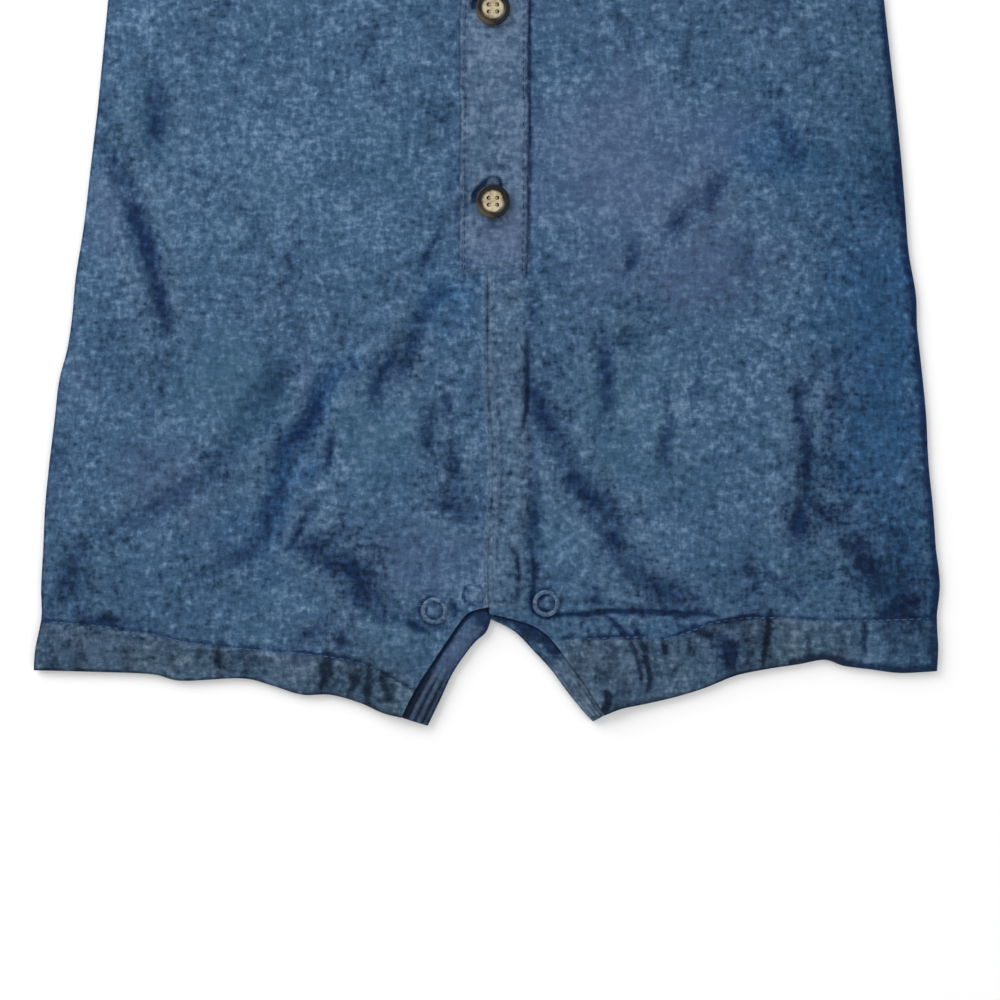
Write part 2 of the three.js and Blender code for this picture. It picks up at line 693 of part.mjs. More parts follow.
function backBinding() {
  const neck = (side) => neckline(side, AXIS_X, BACK_NECK_Y).getSpacedPoints(10);
  const curve = new THREE.SplineCurve([...neck(-1).reverse(), ...neck(1).slice(1)]);
  const clearOfFront = 0.08; // the front lies over its two ends at the shoulders
  return stripOn(bindingPlan(curve, clearOfFront, 1 - clearOfFront, 20), () => CLOTH);
}

// Sleeves: a flat tube, cut out of a pillow by a smaller one that runs past both ends

const sleeveDirection = (side) =>
  new THREE.Vector2(side * Math.cos(SLEEVE_DROP), -Math.sin(SLEEVE_DROP));

function sleevePlan(half, inset, past, rows = 8) {
  const { side } = half;
  const hole = armhole(side);
  const along = sleeveDirection(side);
  const down = new THREE.Vector2(-side * Math.sin(SLEEVE_DROP), -Math.cos(SLEEVE_DROP));
  const tip = hole.getPointAt(1);
  const cuffTop = tip.clone().addScaledVector(along, SLEEVE_TOP);
  return steps(rows).map((t) =>
    ARMHOLE_PLACES.map((u) => {
      const share = THREE.MathUtils.lerp(1 - inset / SLEEVE_CUFF, inset / SLEEVE_CUFF, u);
      const seam = hole.getTangentAt(1 - share);
      const root = hole.getPointAt(1 - share).clone().addScaledVector(along, -past);
      root.add(new THREE.Vector2(seam.y, -seam.x).multiplyScalar(side * GAP));
      const cuff = cuffTop.clone().addScaledVector(down, SLEEVE_CUFF * share);
      cuff.addScaledVector(along, past);
      const p = root.lerp(cuff, t);
      return { x: p.x, y: p.y, share: u, t };
    }),
  );
}

const SLEEVE_FOLDS = [
  { share: 0.3, slant: 0.12, half: 0.1, depth: 0.7 },
  { share: 0.55, slant: -0.08, half: 0.09, depth: 0.9 },
  { share: 0.78, slant: 0.06, half: 0.08, depth: 0.7 },
];
const SLEEVE_LOFT = 2.0;

function sleeveLoft({ share, t }) {
  const crown = Math.sin(Math.PI * share) ** 0.6;
  const folds = SLEEVE_FOLDS.reduce(
    (sum, fold) =>
      sum + fold.depth * bell(share - fold.share - fold.slant * (t - 0.5), fold.half),
    0,
  );
  return Math.max(0, (SLEEVE_LOFT - folds) * crown);
}

function sleeve(half) {
  const outer = sleevePlan(half, 0, 0);
  const inner = sleevePlan(half, CLOTH, 3);
  const sheet = (plan, heightOf) =>
    plan.map((row) => row.map((p) => new THREE.Vector3(p.x, p.y, heightOf(p))));
  const pillow = wall(
    sheet(outer, () => 0),
    sheet(outer, (p) => BASE + CLOTH + sleeveLoft(p)),
  );
  const hollow = wall(
    sheet(inner, () => CLOTH),
    sheet(inner, (p) => BASE + sleeveLoft(p)),
  );
  return toGeometry(toSolid(pillow).subtract(toSolid(hollow)));
}

// Buttons and snap rings

function button() {
  const rim = BUTTON_THICKNESS;
  const dish = rim - 0.7;
  const profile = [
    [0, 0],
    [BUTTON_RADIUS - 1.2, 0],
    [BUTTON_RADIUS, 0.8],
    [BUTTON_RADIUS, 1.5],
    [BUTTON_RADIUS - 0.7, rim],
    [BUTTON_RADIUS - 1.5, rim],
    [BUTTON_RADIUS - 2.4, dish],
    [0, dish],
  ].map(([r, z]) => new THREE.Vector2(r, z));
  const disc = new THREE.LatheGeometry(profile, 20).rotateX(Math.PI / 2);
  let solid = toSolid(disc);
  for (const [sx, sy] of [[-1, -1], [1, -1], [1, 1], [-1, 1]]) {
    const hole = new THREE.CylinderGeometry(BUTTON_HOLE_RADIUS, BUTTON_HOLE_RADIUS, 4 * rim, 6);
    hole.rotateX(Math.PI / 2);
    hole.translate((sx * BUTTON_HOLE_SPACING) / 2, (sy * BUTTON_HOLE_SPACING) / 2, 0);
    solid = solid.subtract(toSolid(hole));
  }
  return toGeometry(solid);
}

function snapRing() {
  const middle = (SNAP_OUTER + SNAP_INNER) / 2;
  const profile = [
    [SNAP_INNER, 0],
    [SNAP_OUTER, 0],
    [SNAP_OUTER, SNAP_HEIGHT * 0.45],
    [middle + 0.4, SNAP_HEIGHT],
    [middle - 0.4, SNAP_HEIGHT],
    [SNAP_INNER, SNAP_HEIGHT * 0.45],
    [SNAP_INNER, 0],
  ].map(([r, z]) => new THREE.Vector2(r, z));
  return new THREE.LatheGeometry(profile, 18).rotateX(Math.PI / 2);
}

// Highest point of a surface under a disc, so that the disc clears it
function highestUnder(heightAt, x, y, radius) {
  const angles = steps(12).map((t) => t * 2 * Math.PI);
  const rims = angles.flatMap((a) =>
    [1, 0.5].map((share) => [x + share * radius * Math.cos(a), y + share * radius * Math.sin(a)]),
  );
  return Math.max(heightAt(x, y), ...rims.map(([px, py]) => heightAt(px, py)));
}

// Materials

const cloth = (color, name) =>
  new THREE.MeshStandardMaterial({ color, roughness: 0.9, metalness: 0, side: THREE.DoubleSide, name });
const chambray = cloth(0x4a6787, "chambray");
const inside = cloth(0x5d7796, "chambray wrong side");
const horn = new THREE.MeshStandardMaterial({ color: 0xb7a88a, roughness: 0.35, name: "horn button" });
const enamel = new THREE.MeshStandardMaterial({
  color: 0x5a7490,
  roughness: 0.45,
  metalness: 0.2,
  name: "enamelled snap",
});

// Assembly

const romper = new THREE.Group();

function add(name, geometry, material, x = 0, y = 0, z = 0) {
  const mesh = new THREE.Mesh(geometry, material);
  mesh.name = name;
  mesh.position.set(x, y, z);
  romper.add(mesh);
}

add("back_panel", backPanel(), inside);
for (const half of HALVES) {
  add(`front_${half.name}`, frontPanel(half), chambray);
  add(`underlap_${half.name}`, underlap(half), chambray);
  add(`sleeve_${half.name}`, sleeve(half), chambray);
  add(`neck_binding_front_${half.name}`, frontBinding(half), chambray);
}
add("neck_binding_back", backBinding(), inside);
add("placket", placket(), chambray);

const placketTop = (x, y) => placketBed(x, y) + LAYER + LAP_CLEARANCE;
for (let i = 0; i < BUTTON_COUNT; i++) {
  const y = BUTTON_LOW_Y + i * BUTTON_SPACING;
  const z = highestUnder(placketTop, BUTTON_X, y, BUTTON_RADIUS) + GAP;
  add(`button_${i + 1}`, button(), horn, BUTTON_X, y, z);
}
for (const snap of SNAPS.filter(({ ring }) => ring)) {
  const z = highestUnder(frontTop, snap.x, snap.y, SNAP_OUTER) + GAP;
  add(snap.name, snapRing(), enamel, snap.x, snap.y, z);
}

romper.position.set(-AXIS_X, -(NECK_SIDE_Y + LOWEST_Y) / 2, 0);

export default romper;
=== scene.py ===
"""A baby's chambray romper laid flat: its cloth, sewing, buttons and snaps, around its frame.

Lengths are in millimetres in the garment's own plan, with the crotch point at (0, 0), the
neck towards +Y and the wearer's left towards +X. to_frame() turns them into the frame's
metres.
"""

import functools
import math
from collections import namedtuple

import bpy
import numpy as np
from bpy.props import FloatProperty, FloatVectorProperty, IntProperty, PointerProperty
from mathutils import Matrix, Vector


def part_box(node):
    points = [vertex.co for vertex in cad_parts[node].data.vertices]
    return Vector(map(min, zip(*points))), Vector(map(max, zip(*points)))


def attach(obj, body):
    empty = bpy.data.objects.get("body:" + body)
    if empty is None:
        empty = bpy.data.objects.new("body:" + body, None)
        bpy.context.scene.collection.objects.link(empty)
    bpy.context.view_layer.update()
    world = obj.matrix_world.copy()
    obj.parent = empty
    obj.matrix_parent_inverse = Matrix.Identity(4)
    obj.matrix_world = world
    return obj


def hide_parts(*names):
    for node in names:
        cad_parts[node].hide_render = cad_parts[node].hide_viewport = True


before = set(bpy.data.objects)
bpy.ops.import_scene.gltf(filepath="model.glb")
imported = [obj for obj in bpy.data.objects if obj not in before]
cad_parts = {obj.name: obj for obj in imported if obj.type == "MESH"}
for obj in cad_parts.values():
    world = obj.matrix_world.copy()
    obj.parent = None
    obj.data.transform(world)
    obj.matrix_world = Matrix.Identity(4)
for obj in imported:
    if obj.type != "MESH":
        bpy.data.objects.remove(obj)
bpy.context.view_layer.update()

bl_info = {
    "name": "Chambray Baby Romper",
    "version": (1, 0, 0),
    "blender": (4, 5, 0),
    "location": "View3D > Sidebar > Romper",
    "description": "Builds a baby's chambray romper, laid flat, piece by piece",
    "category": "Add Mesh",
}

# Sizes of the garment

MM = 0.001
AXIS_X = 1.7
CHEST = 250
UNDERARM_Y = 262
SHOULDERS = 202
SHOULDER_TIP_Y = 374
NECK_WIDTH = 110
NECK_SIDE_Y = 386
FRONT_NECK_Y = 338
BACK_NECK_Y = 374
LOWEST_Y = -38
MIDDLE_Y = (NECK_SIDE_Y + LOWEST_Y) / 2

WALL = 1.0  # wall of the solids that the cloth stands for
GAP = 0.3  # clear space between layers
BASE = WALL + GAP
LOFT = 2.9
LOFT_REACH = 13
LOWEST_TOP = BASE + WALL  # the front's upper side where it lies on the back
HEM_RISE = 0.5
SNAP_RADIUS = 4.5
SNAP_BORE = 3.0  # radius of the hole in a snap's ring
SNAP_HEIGHT = 1.0
SNAP_SUNK = 0.55  # how far a ring presses into the cloth
STITCH_SUNK = 0.14
HEM_ROW_FROM, HEM_ROW_TO = 31, 147.5  # where a hem's stitches begin and end, from the middle
PLACKET_END_SUNK = 0.85
NARROW_CREASE = 1.05  # half width under which a crease is sharp and runs straighter
NARROWEST_SHEET = 10  # a narrower strip's size is taken as this wide
STITCH_DIMPLES = 3  # from one needle hole to the next
BACK_CLOTH = 0.75  # thickness of the back, with its seam allowances
SEAM_GAP = 0.05  # the fronts meet closely in the centre seam

SLEEVE_TOP = 90
SLEEVE_CUFF = 82
SLEEVE_DROP = math.radians(20)
SLEEVE_HEM = 13

PLACKET_LOW_Y = 112
PLACKET_WIDTH = 22.6
BINDING_WIDTH = 5

BUTTONS = [f"button_{i}" for i in (1, 2, 3, 4)]
HOLE_X, HOLE_Y = 1.4, 1.15  # a button's holes from its middle
HOLE_RADIUS = 0.7
BUTTON_FACE = ((1.55, 0), (0.45, -0.45), (0.5, -0.12), (0.6, 0))  # width and rise of each step
BUTTON_UNDERSIDE = (1.3, 0.2)
BUTTON_SUNK = 0.12  # how far a button presses into the placket
BUTTONHOLE_ABOVE = 6.4  # its upper end shows above the button
BUTTONHOLE_BELOW = 4.2  # its lower end is hidden by the button
BUTTONHOLE_HALF = 1.0  # half of its width
SATIN_STEP = 0.42  # from one satin stitch to the next
DRAWN_BY_BUTTON = [  # creases of the placket round each button, and how deep
    ([(0.8, 7.9), (-1.4, 7.2), (-4.2, 5.0), (-6.0, 2.6), (-6.4, 0.4)], 1.9),
    ([(0.8, 7.9), (2.3, 7.1), (2.7, 5.6)], 1.3),
]

# Outlines of the two halves, as they lie. Rows run from the hem upwards or inwards.

Half = namedtuple("Half", "name side leg body hem inseam inner stitch")

RIGHT = Half(
    name="right",
    side=-1,
    leg=[(-152.3, -19.5), (-151.8, -12.5), (-149.8, -2), (-149.9, 8), (-149.2, 21)],
    body=[(-149.2, 21), (-148.5, 36), (-147, 51), (-145.4, 64), (-143.9, 77), (-141.2, 87.5),
          (-139.6, 98), (-138.3, 112), (-135.6, 129), (-133.5, 147), (-131, 168)],
    hem=[(-152.3, -19.5), (-133, -20), (-113, -20.8), (-103, -23), (-83, -22.2), (-73, -24.5),
         (-63, -27.6), (-53, -27.7), (-43, -30.5), (-36, -33.6), (-29.6, -35.2)],
    inseam=[(-29.6, -35.2), (-24.9, -25.8), (-18.8, -16.3), (-12.7, -7.2), (-9.7, -2.9),
            (-6.6, 0.1), (-0.6, 1.6)],
    inner=[(-20.8, LOWEST_Y), (-16.6, -29.3), (-12.7, -20.9), (-9, -15.2), (-5.1, -10.2),
           (-1.3, -6.7), (0.3, -2.4)],
    stitch=[(-152, -3), (-130, -4.7), (-113.3, -7.3), (-100, -10.3), (-75.3, -13),
            (-64.3, -13.7), (-53.3, -15), (-42.3, -17.3), (-34.3, -21.3), (-24, -27)],
)
LEFT = Half(
    name="left",
    side=1,
    leg=[(149.2, -19.8), (149.6, -12), (149.2, -2), (150.2, 9), (148.9, 21)],
    body=[(148.9, 21), (147.9, 35), (146.4, 50), (145.6, 66), (143.8, 84), (142.6, 95),
          (142.2, 106), (139.8, 120), (138.7, 134), (137.4, 150), (135.6, 168)],
    hem=[(149.2, -19.8), (137, -20.4), (127, -19.2), (118, -18), (111.7, -16), (103, -17.5),
         (93, -19), (82, -21.3), (72, -25.3), (62, -28.4), (52, -30.7), (44, -32.3), (38.2, -34.5)],
    inseam=[(38.2, -34.5), (31.7, -24), (27.1, -17.8), (20, -8.7), (14.3, -4.6), (7.2, -2.3),
            (-0.1, -0.6)],
    inner=[(34.3, -36.6), (30.7, -32.7), (25.3, -26), (20.4, -19.3), (14.3, -12.7), (8, -6.4),
           (0.3, -2.4)],
    stitch=[(30, -9), (50.3, -8.3), (57.3, -9.3), (68, -6), (73.7, -3.7), (86.3, -2),
            (98.7, -2), (111.3, -3), (132, -2.7), (141.7, -2.5), (150, -2)],
)
HALVES = (RIGHT, LEFT)
HALF_WIDTH = 148  # of a front, from its side to its middle
LEG_STEP = 0.82  # mesh rows of the legs, where hems and snaps need more
FINE_ZONES = {  # from, to and mesh step, inwards from the side, where creases are crisp
    "right": [(94, 113, 0.8), (131, 148, 0.6)],
    "left": [(53.5, 58.5, 0.5), (93, 111, 0.65), (131, 148, 0.6)],
}
CENTRE_FRONT = [(-0.35, 0.5), (-0.6, 20), (0.9, 42), (0.7, 58), (-0.8, 105), (AXIS_X, FRONT_NECK_Y)]

# Creases: half width, depth and how much painted shade deepens the blue in them, then the way it
# takes

Crease = namedtuple("Crease", "half depth blue way")

CREASES = [
    # the wearer's right, from the side inwards
    Crease(4.2, 0.8, 0.85, [(-112, 176), (-111.5, 164), (-113, 152)]),
    Crease(3.8, 0.8, 0.75, [(-126, 154), (-123, 146), (-119.5, 138)]),
    Crease(3.5, 1.5, 1.0, [(-121, 140), (-117.2, 131), (-114.5, 121), (-111.8, 109)]),
    Crease(2.8, 1.0, 0.8, [(-112.5, 113), (-109.1, 102), (-106.4, 93)]),
    Crease(2.0, 0.5, 0.35, [(-120, 117), (-124, 107), (-126, 101)]),
    Crease(4.5, 0.5, 0.3, [(-130, 92), (-128, 78)]),
    Crease(3.0, 0.5, 0.3, [(-107, 90), (-104, 74)]),
    Crease(2.6, 0.5, 0.4, [(-143, 58), (-142.5, 47)]),
    Crease(3.6, 0.6, 0.5, [(-82, 61), (-93, 48), (-107, 37), (-121, 29), (-133, 24)]),
    Crease(4.0, 0.8, 0.7, [(-138, 20), (-139.5, 11), (-141.5, 2)]),
    Crease(1.5, 0.8, 0.7, [(-140, 0), (-135, -1.5), (-123, -3), (-111, -4.8)]),
    Crease(2.3, 0.6, 0.4, [(-66.7, 121), (-67.3, 104), (-68.3, 97)]),
    Crease(1.4, 0.4, 0.3, [(-63, 139), (-64.5, 117)]),
    Crease(4.4, 0.9, 0.5, [(-68, 92), (-69.5, 81), (-75, 71), (-81.5, 63), (-88, 56)]),
    Crease(1.2, 1.0, 0.85, [(-15, 130), (-16.7, 127), (-20.7, 119), (-24.3, 113)]),
    Crease(1.6, 0.6, 0.4, [(-9, 137), (-13, 129)]),
    Crease(2.6, 1.5, 1.0, [(-14, 108), (-21.7, 101), (-25.4, 96), (-28, 86), (-31.5, 76)]),
    Crease(3.4, 1.0, 0.75, [(-30, 92), (-34.5, 83), (-38.5, 74), (-36, 67)]),
    Crease(2.9, 1.7, 1.05, [(-54, 78), (-57.4, 73.5), (-59.2, 66), (-63.5, 60), (-68, 53.5),
                            (-70.6, 46)]),
    Crease(3.4, 0.6, 0.45, [(-44, 84), (-50, 80), (-56, 75)]),
    Crease(3.0, 1.1, 0.7, [(-69.5, 49), (-71.5, 40), (-73.5, 30), (-77, 20)]),
    Crease(2.6, 0.5, 0.45, [(-74, 23), (-84, 17), (-93, 14), (-98, 11)]),
    Crease(1.2, 1.2, 1.0, [(-53.3, 60), (-53.3, 52), (-54, 45)]),
    Crease(1.2, 1.3, 1.15, [(-56.5, 38), (-61, 31), (-64, 26), (-67.5, 21)]),
    Crease(1.5, 0.6, 0.6, [(-48.6, 34), (-48, 31)]),
    Crease(3.8, 1.5, 1.1, [(-62, 24), (-55, 20), (-48, 16), (-44, 12), (-42.5, 6), (-39.5, 3),
                           (-31, -1.5)]),
    Crease(2.0, 1.0, 0.9, [(-31.5, -0.5), (-29.5, -2.5)]),
    Crease(1.9, 1.0, 0.75, [(-15.3, 75), (-14.5, 69), (-12.5, 62)]),
    Crease(2.4, 1.0, 0.75, [(-18, 69), (-20.3, 60), (-19.5, 50)]),
    Crease(2.4, 0.9, 0.75, [(-14.5, 58), (-12.7, 49), (-11.5, 39)]),
    Crease(3.8, 0.8, 0.7, [(-12, 43), (-13.5, 36), (-9, 34), (-3, 35)]),
    Crease(1.8, 0.6, 0.5, [(-25, 14), (-22, 11)]),
    Crease(1.0, 1.0, 1.8, [(-27.3, -1.2), (-25.7, -4.2), (-22, -6)]),
    Crease(0.8, 0.8, 1.4, [(-12, 3), (-11.5, -1.5)]),
    # the wearer's left, from the centre outwards
    Crease(0.8, 1.3, 1.25, [(12.4, 92), (12.5, 82), (12.4, 74), (12.0, 67), (10.8, 60)]),
    Crease(1.4, 0.6, 0.5, [(13, 110), (14.5, 99), (13, 91)]),
    Crease(4.6, 0.6, 0.4, [(19, 88), (18, 68)]),
    Crease(2.3, 1.2, 0.75, [(13.6, 62), (14.6, 44), (14.4, 31), (13.8, 16)]),
    Crease(0.8, 1.2, 1.1, [(8.3, 21), (9.6, 12.3), (8.6, 2)]),
    Crease(0.9, 1.4, 1.2, [(14, 19), (14.8, 10.7), (13.4, 1.5)]),
    Crease(3.6, 0.9, 0.75, [(14, 76), (18.5, 63), (24, 54)]),
    Crease(3.9, 1.5, 1.0, [(20, 58), (25, 51), (29, 44), (34.5, 37), (39, 30), (42, 23), (47, 15)]),
    Crease(3.3, 1.5, 0.85, [(43, 18), (50, 10.7), (55, 8.6), (60, 5.5), (68, 1.5)]),
    Crease(2.6, 0.9, 0.75, [(36.5, 94), (38, 82), (39.3, 68), (36, 60)]),
    Crease(2.8, 0.9, 0.6, [(42, 91), (46, 89.5), (49, 88)]),
    Crease(2.6, 0.6, 0.4, [(39, 103), (47, 101), (55, 103)]),
    Crease(2.1, 1.0, 0.65, [(47, 125), (46.7, 116), (43, 110)]),
    Crease(1.7, 1.0, 0.65, [(58, 79), (59, 65), (57.3, 55), (58.3, 46)]),
    Crease(3.0, 0.9, 0.7, [(78, 148), (73, 139), (68, 131)]),
    Crease(3.0, 0.8, 0.6, [(69, 136), (63, 131), (59.5, 124)]),
    Crease(2.2, 0.6, 0.45, [(95, 166), (100, 154), (102, 148)]),
    Crease(5.0, 0.5, 0.55, [(134, 152), (135, 134)]),
    Crease(2.6, 0.5, 0.4, [(96, 109), (97.5, 105)]),
    Crease(2.8, 0.9, 0.6, [(107, 82), (103, 72), (103.5, 60)]),
    Crease(2.3, 1.6, 1.05, [(103.8, 64), (105, 52), (104.7, 44), (103.6, 36)]),
    Crease(3.2, 1.1, 0.85, [(104, 37), (102.5, 29), (101, 21)]),
    Crease(2.2, 0.9, 0.75, [(107, 38), (112, 33), (114, 26)]),
    Crease(1.6, 0.7, 0.7, [(117, 76), (116.5, 70)]),
    Crease(1.8, 0.6, 0.5, [(113.5, 64), (113.5, 58)]),
    Crease(6.0, 0.6, 0.45, [(107, 46), (108, 28)]),
    Crease(2.6, 0.6, 0.45, [(116, 82), (115, 71), (111, 60)]),
    Crease(3.2, 1.1, 0.75, [(119.5, 28), (123.3, 18), (128, 11), (135, 4)]),
    Crease(8.0, 0.5, 0.5, [(133, 24), (138, 10), (139, -8)]),
    Crease(1.3, 0.7, 0.65, [(85, 18), (88.3, 10), (84, 4)]),
    Crease(1.3, 0.7, 0.65, [(92, 15), (97, 8), (104, 4)]),
    Crease(0.75, 1.2, 1.6, [(17, -0.8), (31.7, -0.5), (40, 0.2), (52.8, 0.2), (61.7, -0.4),
                            (71.7, -0.4), (76, -1)]),
    Crease(1.6, 0.5, 0.5, [(38, 1.6), (52, 1.5), (66, 1.2), (74, 2)]),
    Crease(0.7, 0.9, 1.0, [(72.5, -3.9), (78, -3.2), (84.4, -1.8), (91, -1)]),
    Crease(1.4, 0.8, 0.9, [(129, -1.7), (136.7, 1.3), (141.7, 3.3), (149, 4)]),
    Crease(2.4, 0.8, 0.7, [(33, 5), (37, 3.4)]),
    # puckers of the hems
    Crease(1.8, 0.6, 0.4, [(-120.7, -9), (-120, -20)]),
    Crease(1.2, 0.6, 0.4, [(-137, -12), (-136, -20)]),
    Crease(1.1, 0.6, 0.4, [(-107, -12), (-105, -20)]),
    Crease(1.2, 0.7, 0.5, [(-98, -12), (-97, -18)]),
    Crease(1.5, 0.9, 0.85, [(-91.6, -11), (-90.6, -20)]),
    Crease(1.2, 0.6, 0.4, [(-80, -13), (-79, -21)]),
    Crease(1.4, 0.8, 0.85, [(-65, -10), (-60, -7), (-53.3, -5.8)]),
    Crease(1.9, 0.9, 0.85, [(-50, -6.5), (-48.3, -14)]),
    Crease(1.5, 1.1, 1.2, [(-53.5, -13.5), (-55.2, -20), (-57.5, -27)]),
    Crease(0.9, 0.8, 1.0, [(-43, -18.5), (-45.2, -23), (-48, -28.5)]),
    Crease(1.0, 0.9, 1.0, [(-39.8, -17.5), (-40.8, -24), (-41, -31.5)]),
    Crease(0.9, 0.6, 0.8, [(-36.5, -21.5), (-34.5, -26), (-33, -30)]),
    Crease(1.4, 0.6, 0.6, [(-50, -21), (-52, -25)]),
    Crease(2.4, 0.8, 0.65, [(36.7, -9), (40, -16), (38.3, -22.5)]),
    Crease(0.75, 1.1, 1.7, [(38.3, -1), (44, -6), (47.7, -11.7), (49.3, -17), (50.7, -24)]),
    Crease(0.75, 1.1, 1.7, [(47.3, -3.7), (50.7, -11), (52, -16), (53.2, -21.7), (52.5, -27)]),
    Crease(0.8, 0.6, 0.6, [(32.7, -4.3), (33.3, -12.7)]),
    Crease(0.9, 0.8, 0.9, [(57.3, -9.3), (59.2, -14.5)]),
    Crease(0.8, 0.6, 0.7, [(66.7, -9), (66.5, -14)]),
    Crease(0.8, 0.5, 0.6, [(60.2, -23), (62, -19), (65, -15.5)]),
    Crease(1.6, 1.0, 1.0, [(67.5, -4.5), (72, -6.5), (76, -9.5)]),
    Crease(2.5, 1.1, 1.15, [(76, -9), (80.5, -13.5), (78, -20)]),
    Crease(0.6, 1.3, 2.6, [(93.4, 0.5), (92.4, -9), (91, -18)]),
    Crease(1.8, 0.6, 0.5, [(86, -9), (87, -19)]),
    Crease(1.3, 0.5, 0.35, [(105, -6), (106, -16)]),
    Crease(0.8, 0.7, 1.0, [(124.7, -2.5), (124.9, -14.5)]),
    Crease(1.2, 0.6, 0.4, [(116, -6), (117, -17)]),
    Crease(1.0, 0.6, 0.4, [(134.4, -3), (135, -17)]),
    Crease(0.8, 1.3, 2.2, [(38.6, -26.2), (39.8, -28.9), (36.9, -35.5)]),
    Crease(1.8, 0.4, 0.5, [(30, -14), (36, -19), (37, -24)]),
    # the hidden upper part
    Crease(4.6, 1.6, 0.7, [(-118, 258), (-100, 238), (-86, 205)]),
    Crease(4.6, 1.6, 0.7, [(121, 256), (105, 232), (93, 196)]),
    Crease(3.0, 1.2, 0.6, [(-96, 268), (-84, 236), (-70, 214)]),
    Crease(3.0, 1.2, 0.6, [(98, 266), (88, 236), (74, 216)]),
    Crease(3.8, 1.0, 0.5, [(-72, 332), (-54, 292), (-47, 244)]),
    Crease(3.8, 1.0, 0.5, [(76, 328), (60, 292), (49, 250)]),
    Crease(1.9, 1.0, 0.6, [(-14, 300), (-26, 286), (-33, 262)]),
    Crease(1.9, 1.0, 0.6, [(18, 276), (28, 262), (33, 238)]),
    Crease(2.4, 0.9, 0.5, [(-88, 350), (-84, 322), (-90, 296)]),
    Crease(2.4, 0.9, 0.5, [(90, 352), (86, 324), (92, 300)]),
]

# Uneven dye, and broad painted shade and light: tone from -1 dark to 1 light, cast from -1 teal to 1
# violet, and clear blue, which also paints the deep blue of shade in creases and along the shaded
# side

Patch = namedtuple("Patch", "x y wide high tone cast blue")
PATCHES = [
    Patch(-75, 140, 45, 28, 0.35, -0.1, 0.0),
    Patch(-118, 158, 16, 14, -0.25, -0.5, 0.0),
    Patch(-127, 122, 9, 20, 0.25, 0.7, 0.0),
    Patch(-125, 70, 20, 25, -0.1, 0.3, 0.0),
    Patch(-110, 45, 22, 14, 0.0, 0.5, 0.0),
    Patch(-88, 75, 20, 16, 0.15, -0.4, 0.0),
    Patch(-62, 76, 5, 10, 0.2, 0.9, 0.0),
    Patch(-49, 84, 10, 8, 0.05, 0.0, 0.8),
    Patch(-58, 69, 6, 12, 0.0, 0.0, 1.0),
    Patch(-67, 52, 6, 11, 0.0, 0.0, 1.0),
    Patch(-72, 36, 6, 12, 0.0, 0.0, 0.9),
    Patch(-14, 104, 10, 14, 0.2, 0.0, 0.8),
    Patch(-40, 60, 14, 22, 0.2, -0.7, 0.0),
    Patch(-79, 22, 12, 11, -0.1, 0.2, 0.6),
    Patch(-110, 6, 26, 10, -0.1, -0.2, 0.0),
    Patch(-68, 4, 20, 9, 0.3, -0.3, 0.0),
    Patch(-25, 18, 20, 14, 0.1, 0.5, 0.0),
    Patch(-7, 10, 10, 10, 0.45, 0.0, 0.0),
    Patch(-28, -8, 12, 10, 0.2, -0.7, 0.0),
    Patch(-10, 140, 5, 22, 0.15, 0.7, 0.0),
    Patch(45, 145, 34, 28, 0.3, 0.9, 0.0),
    Patch(78, 158, 12, 10, 0.25, 0.4, 0.3),
    Patch(97, 153, 11, 16, -0.15, -0.3, 0.8),
    Patch(70, 110, 24, 12, -0.15, 0.6, 0.0),
    Patch(48, 97, 14, 12, -0.25, -0.6, 0.0),
    Patch(48, 60, 20, 24, 0.25, -0.4, 0.0),
    Patch(84, 62, 20, 26, 0.25, -0.1, 0.0),
    Patch(24, 25, 9, 16, 0.2, -0.3, 0.0),
    Patch(62, 22, 18, 12, 0.15, -0.2, 0.1),
    Patch(129, 106, 19, 32, -0.1, -0.1, 0.85),
    Patch(131, 55, 17, 32, -0.2, -0.1, 0.95),
    Patch(126, 150, 16, 18, -0.4, -0.4, 0.4),
    Patch(138, 8, 15, 20, -0.65, -0.2, 0.6),
    Patch(0, 2, 170, 38, -0.12, 0.0, 0.0),
    Patch(112, 45, 14, 30, -0.35, 0.0, 0.0),
    Patch(30, 68, 14, 18, -0.3, -0.1, 0.0),
    Patch(76, -12, 10, 12, -0.3, 0.0, 0.2),
    Patch(-61, -19, 6, 6, 0.35, 0.4, 0.0),
    Patch(100, 25, 34, 22, -0.2, 0.0, 0.0),
    Patch(48, -17, 26, 9, 0.35, 0.2, 0.0),
    Patch(105, -11, 14, 8, 0.3, -0.3, 0.0),
    Patch(-45, 14, 18, 12, -0.4, 0.1, 0.1),
    Patch(-140, 12, 10, 22, -0.45, 0.0, 0.0),
    Patch(-76, 72, 13, 18, -0.3, -0.7, 0.0),
    Patch(105, 14, 16, 10, 0.0, -0.6, 0.0),
    Patch(60, -5, 12, 4, 0.0, 0.0, 0.7),
    Patch(60, 240, 40, 40, 0.1, 0.6, 0.0),
    Patch(-60, 250, 45, 45, 0.1, -0.3, 0.1),
    Patch(-80, 310, 30, 30, -0.1, 0.5, 0.0),
    Patch(80, 320, 30, 30, -0.1, -0.4, 0.2),
]
SMALL_CREASES = 110  # faint ones, scattered with a fixed seed

Bulge = namedtuple("Bulge", "x y radius height grooves")
RING_GROOVES = ((2.5, 1.0), (4.95, 1.0))  # radius and strength
BULGES = [
    Bulge(-5.4, 5.9, 3.0, 1.2, ((3.5, 0.95),)),
    Bulge(-35.7, -26.3, 3.0, 1.0, ((3.6, 0.4),)),
    Bulge(-18.5, 0.5, 2.0, 0.7, (*RING_GROOVES, (6.9, 0.5))),
    Bulge(18.7, 3.0, 2.0, 0.5, RING_GROOVES),
]


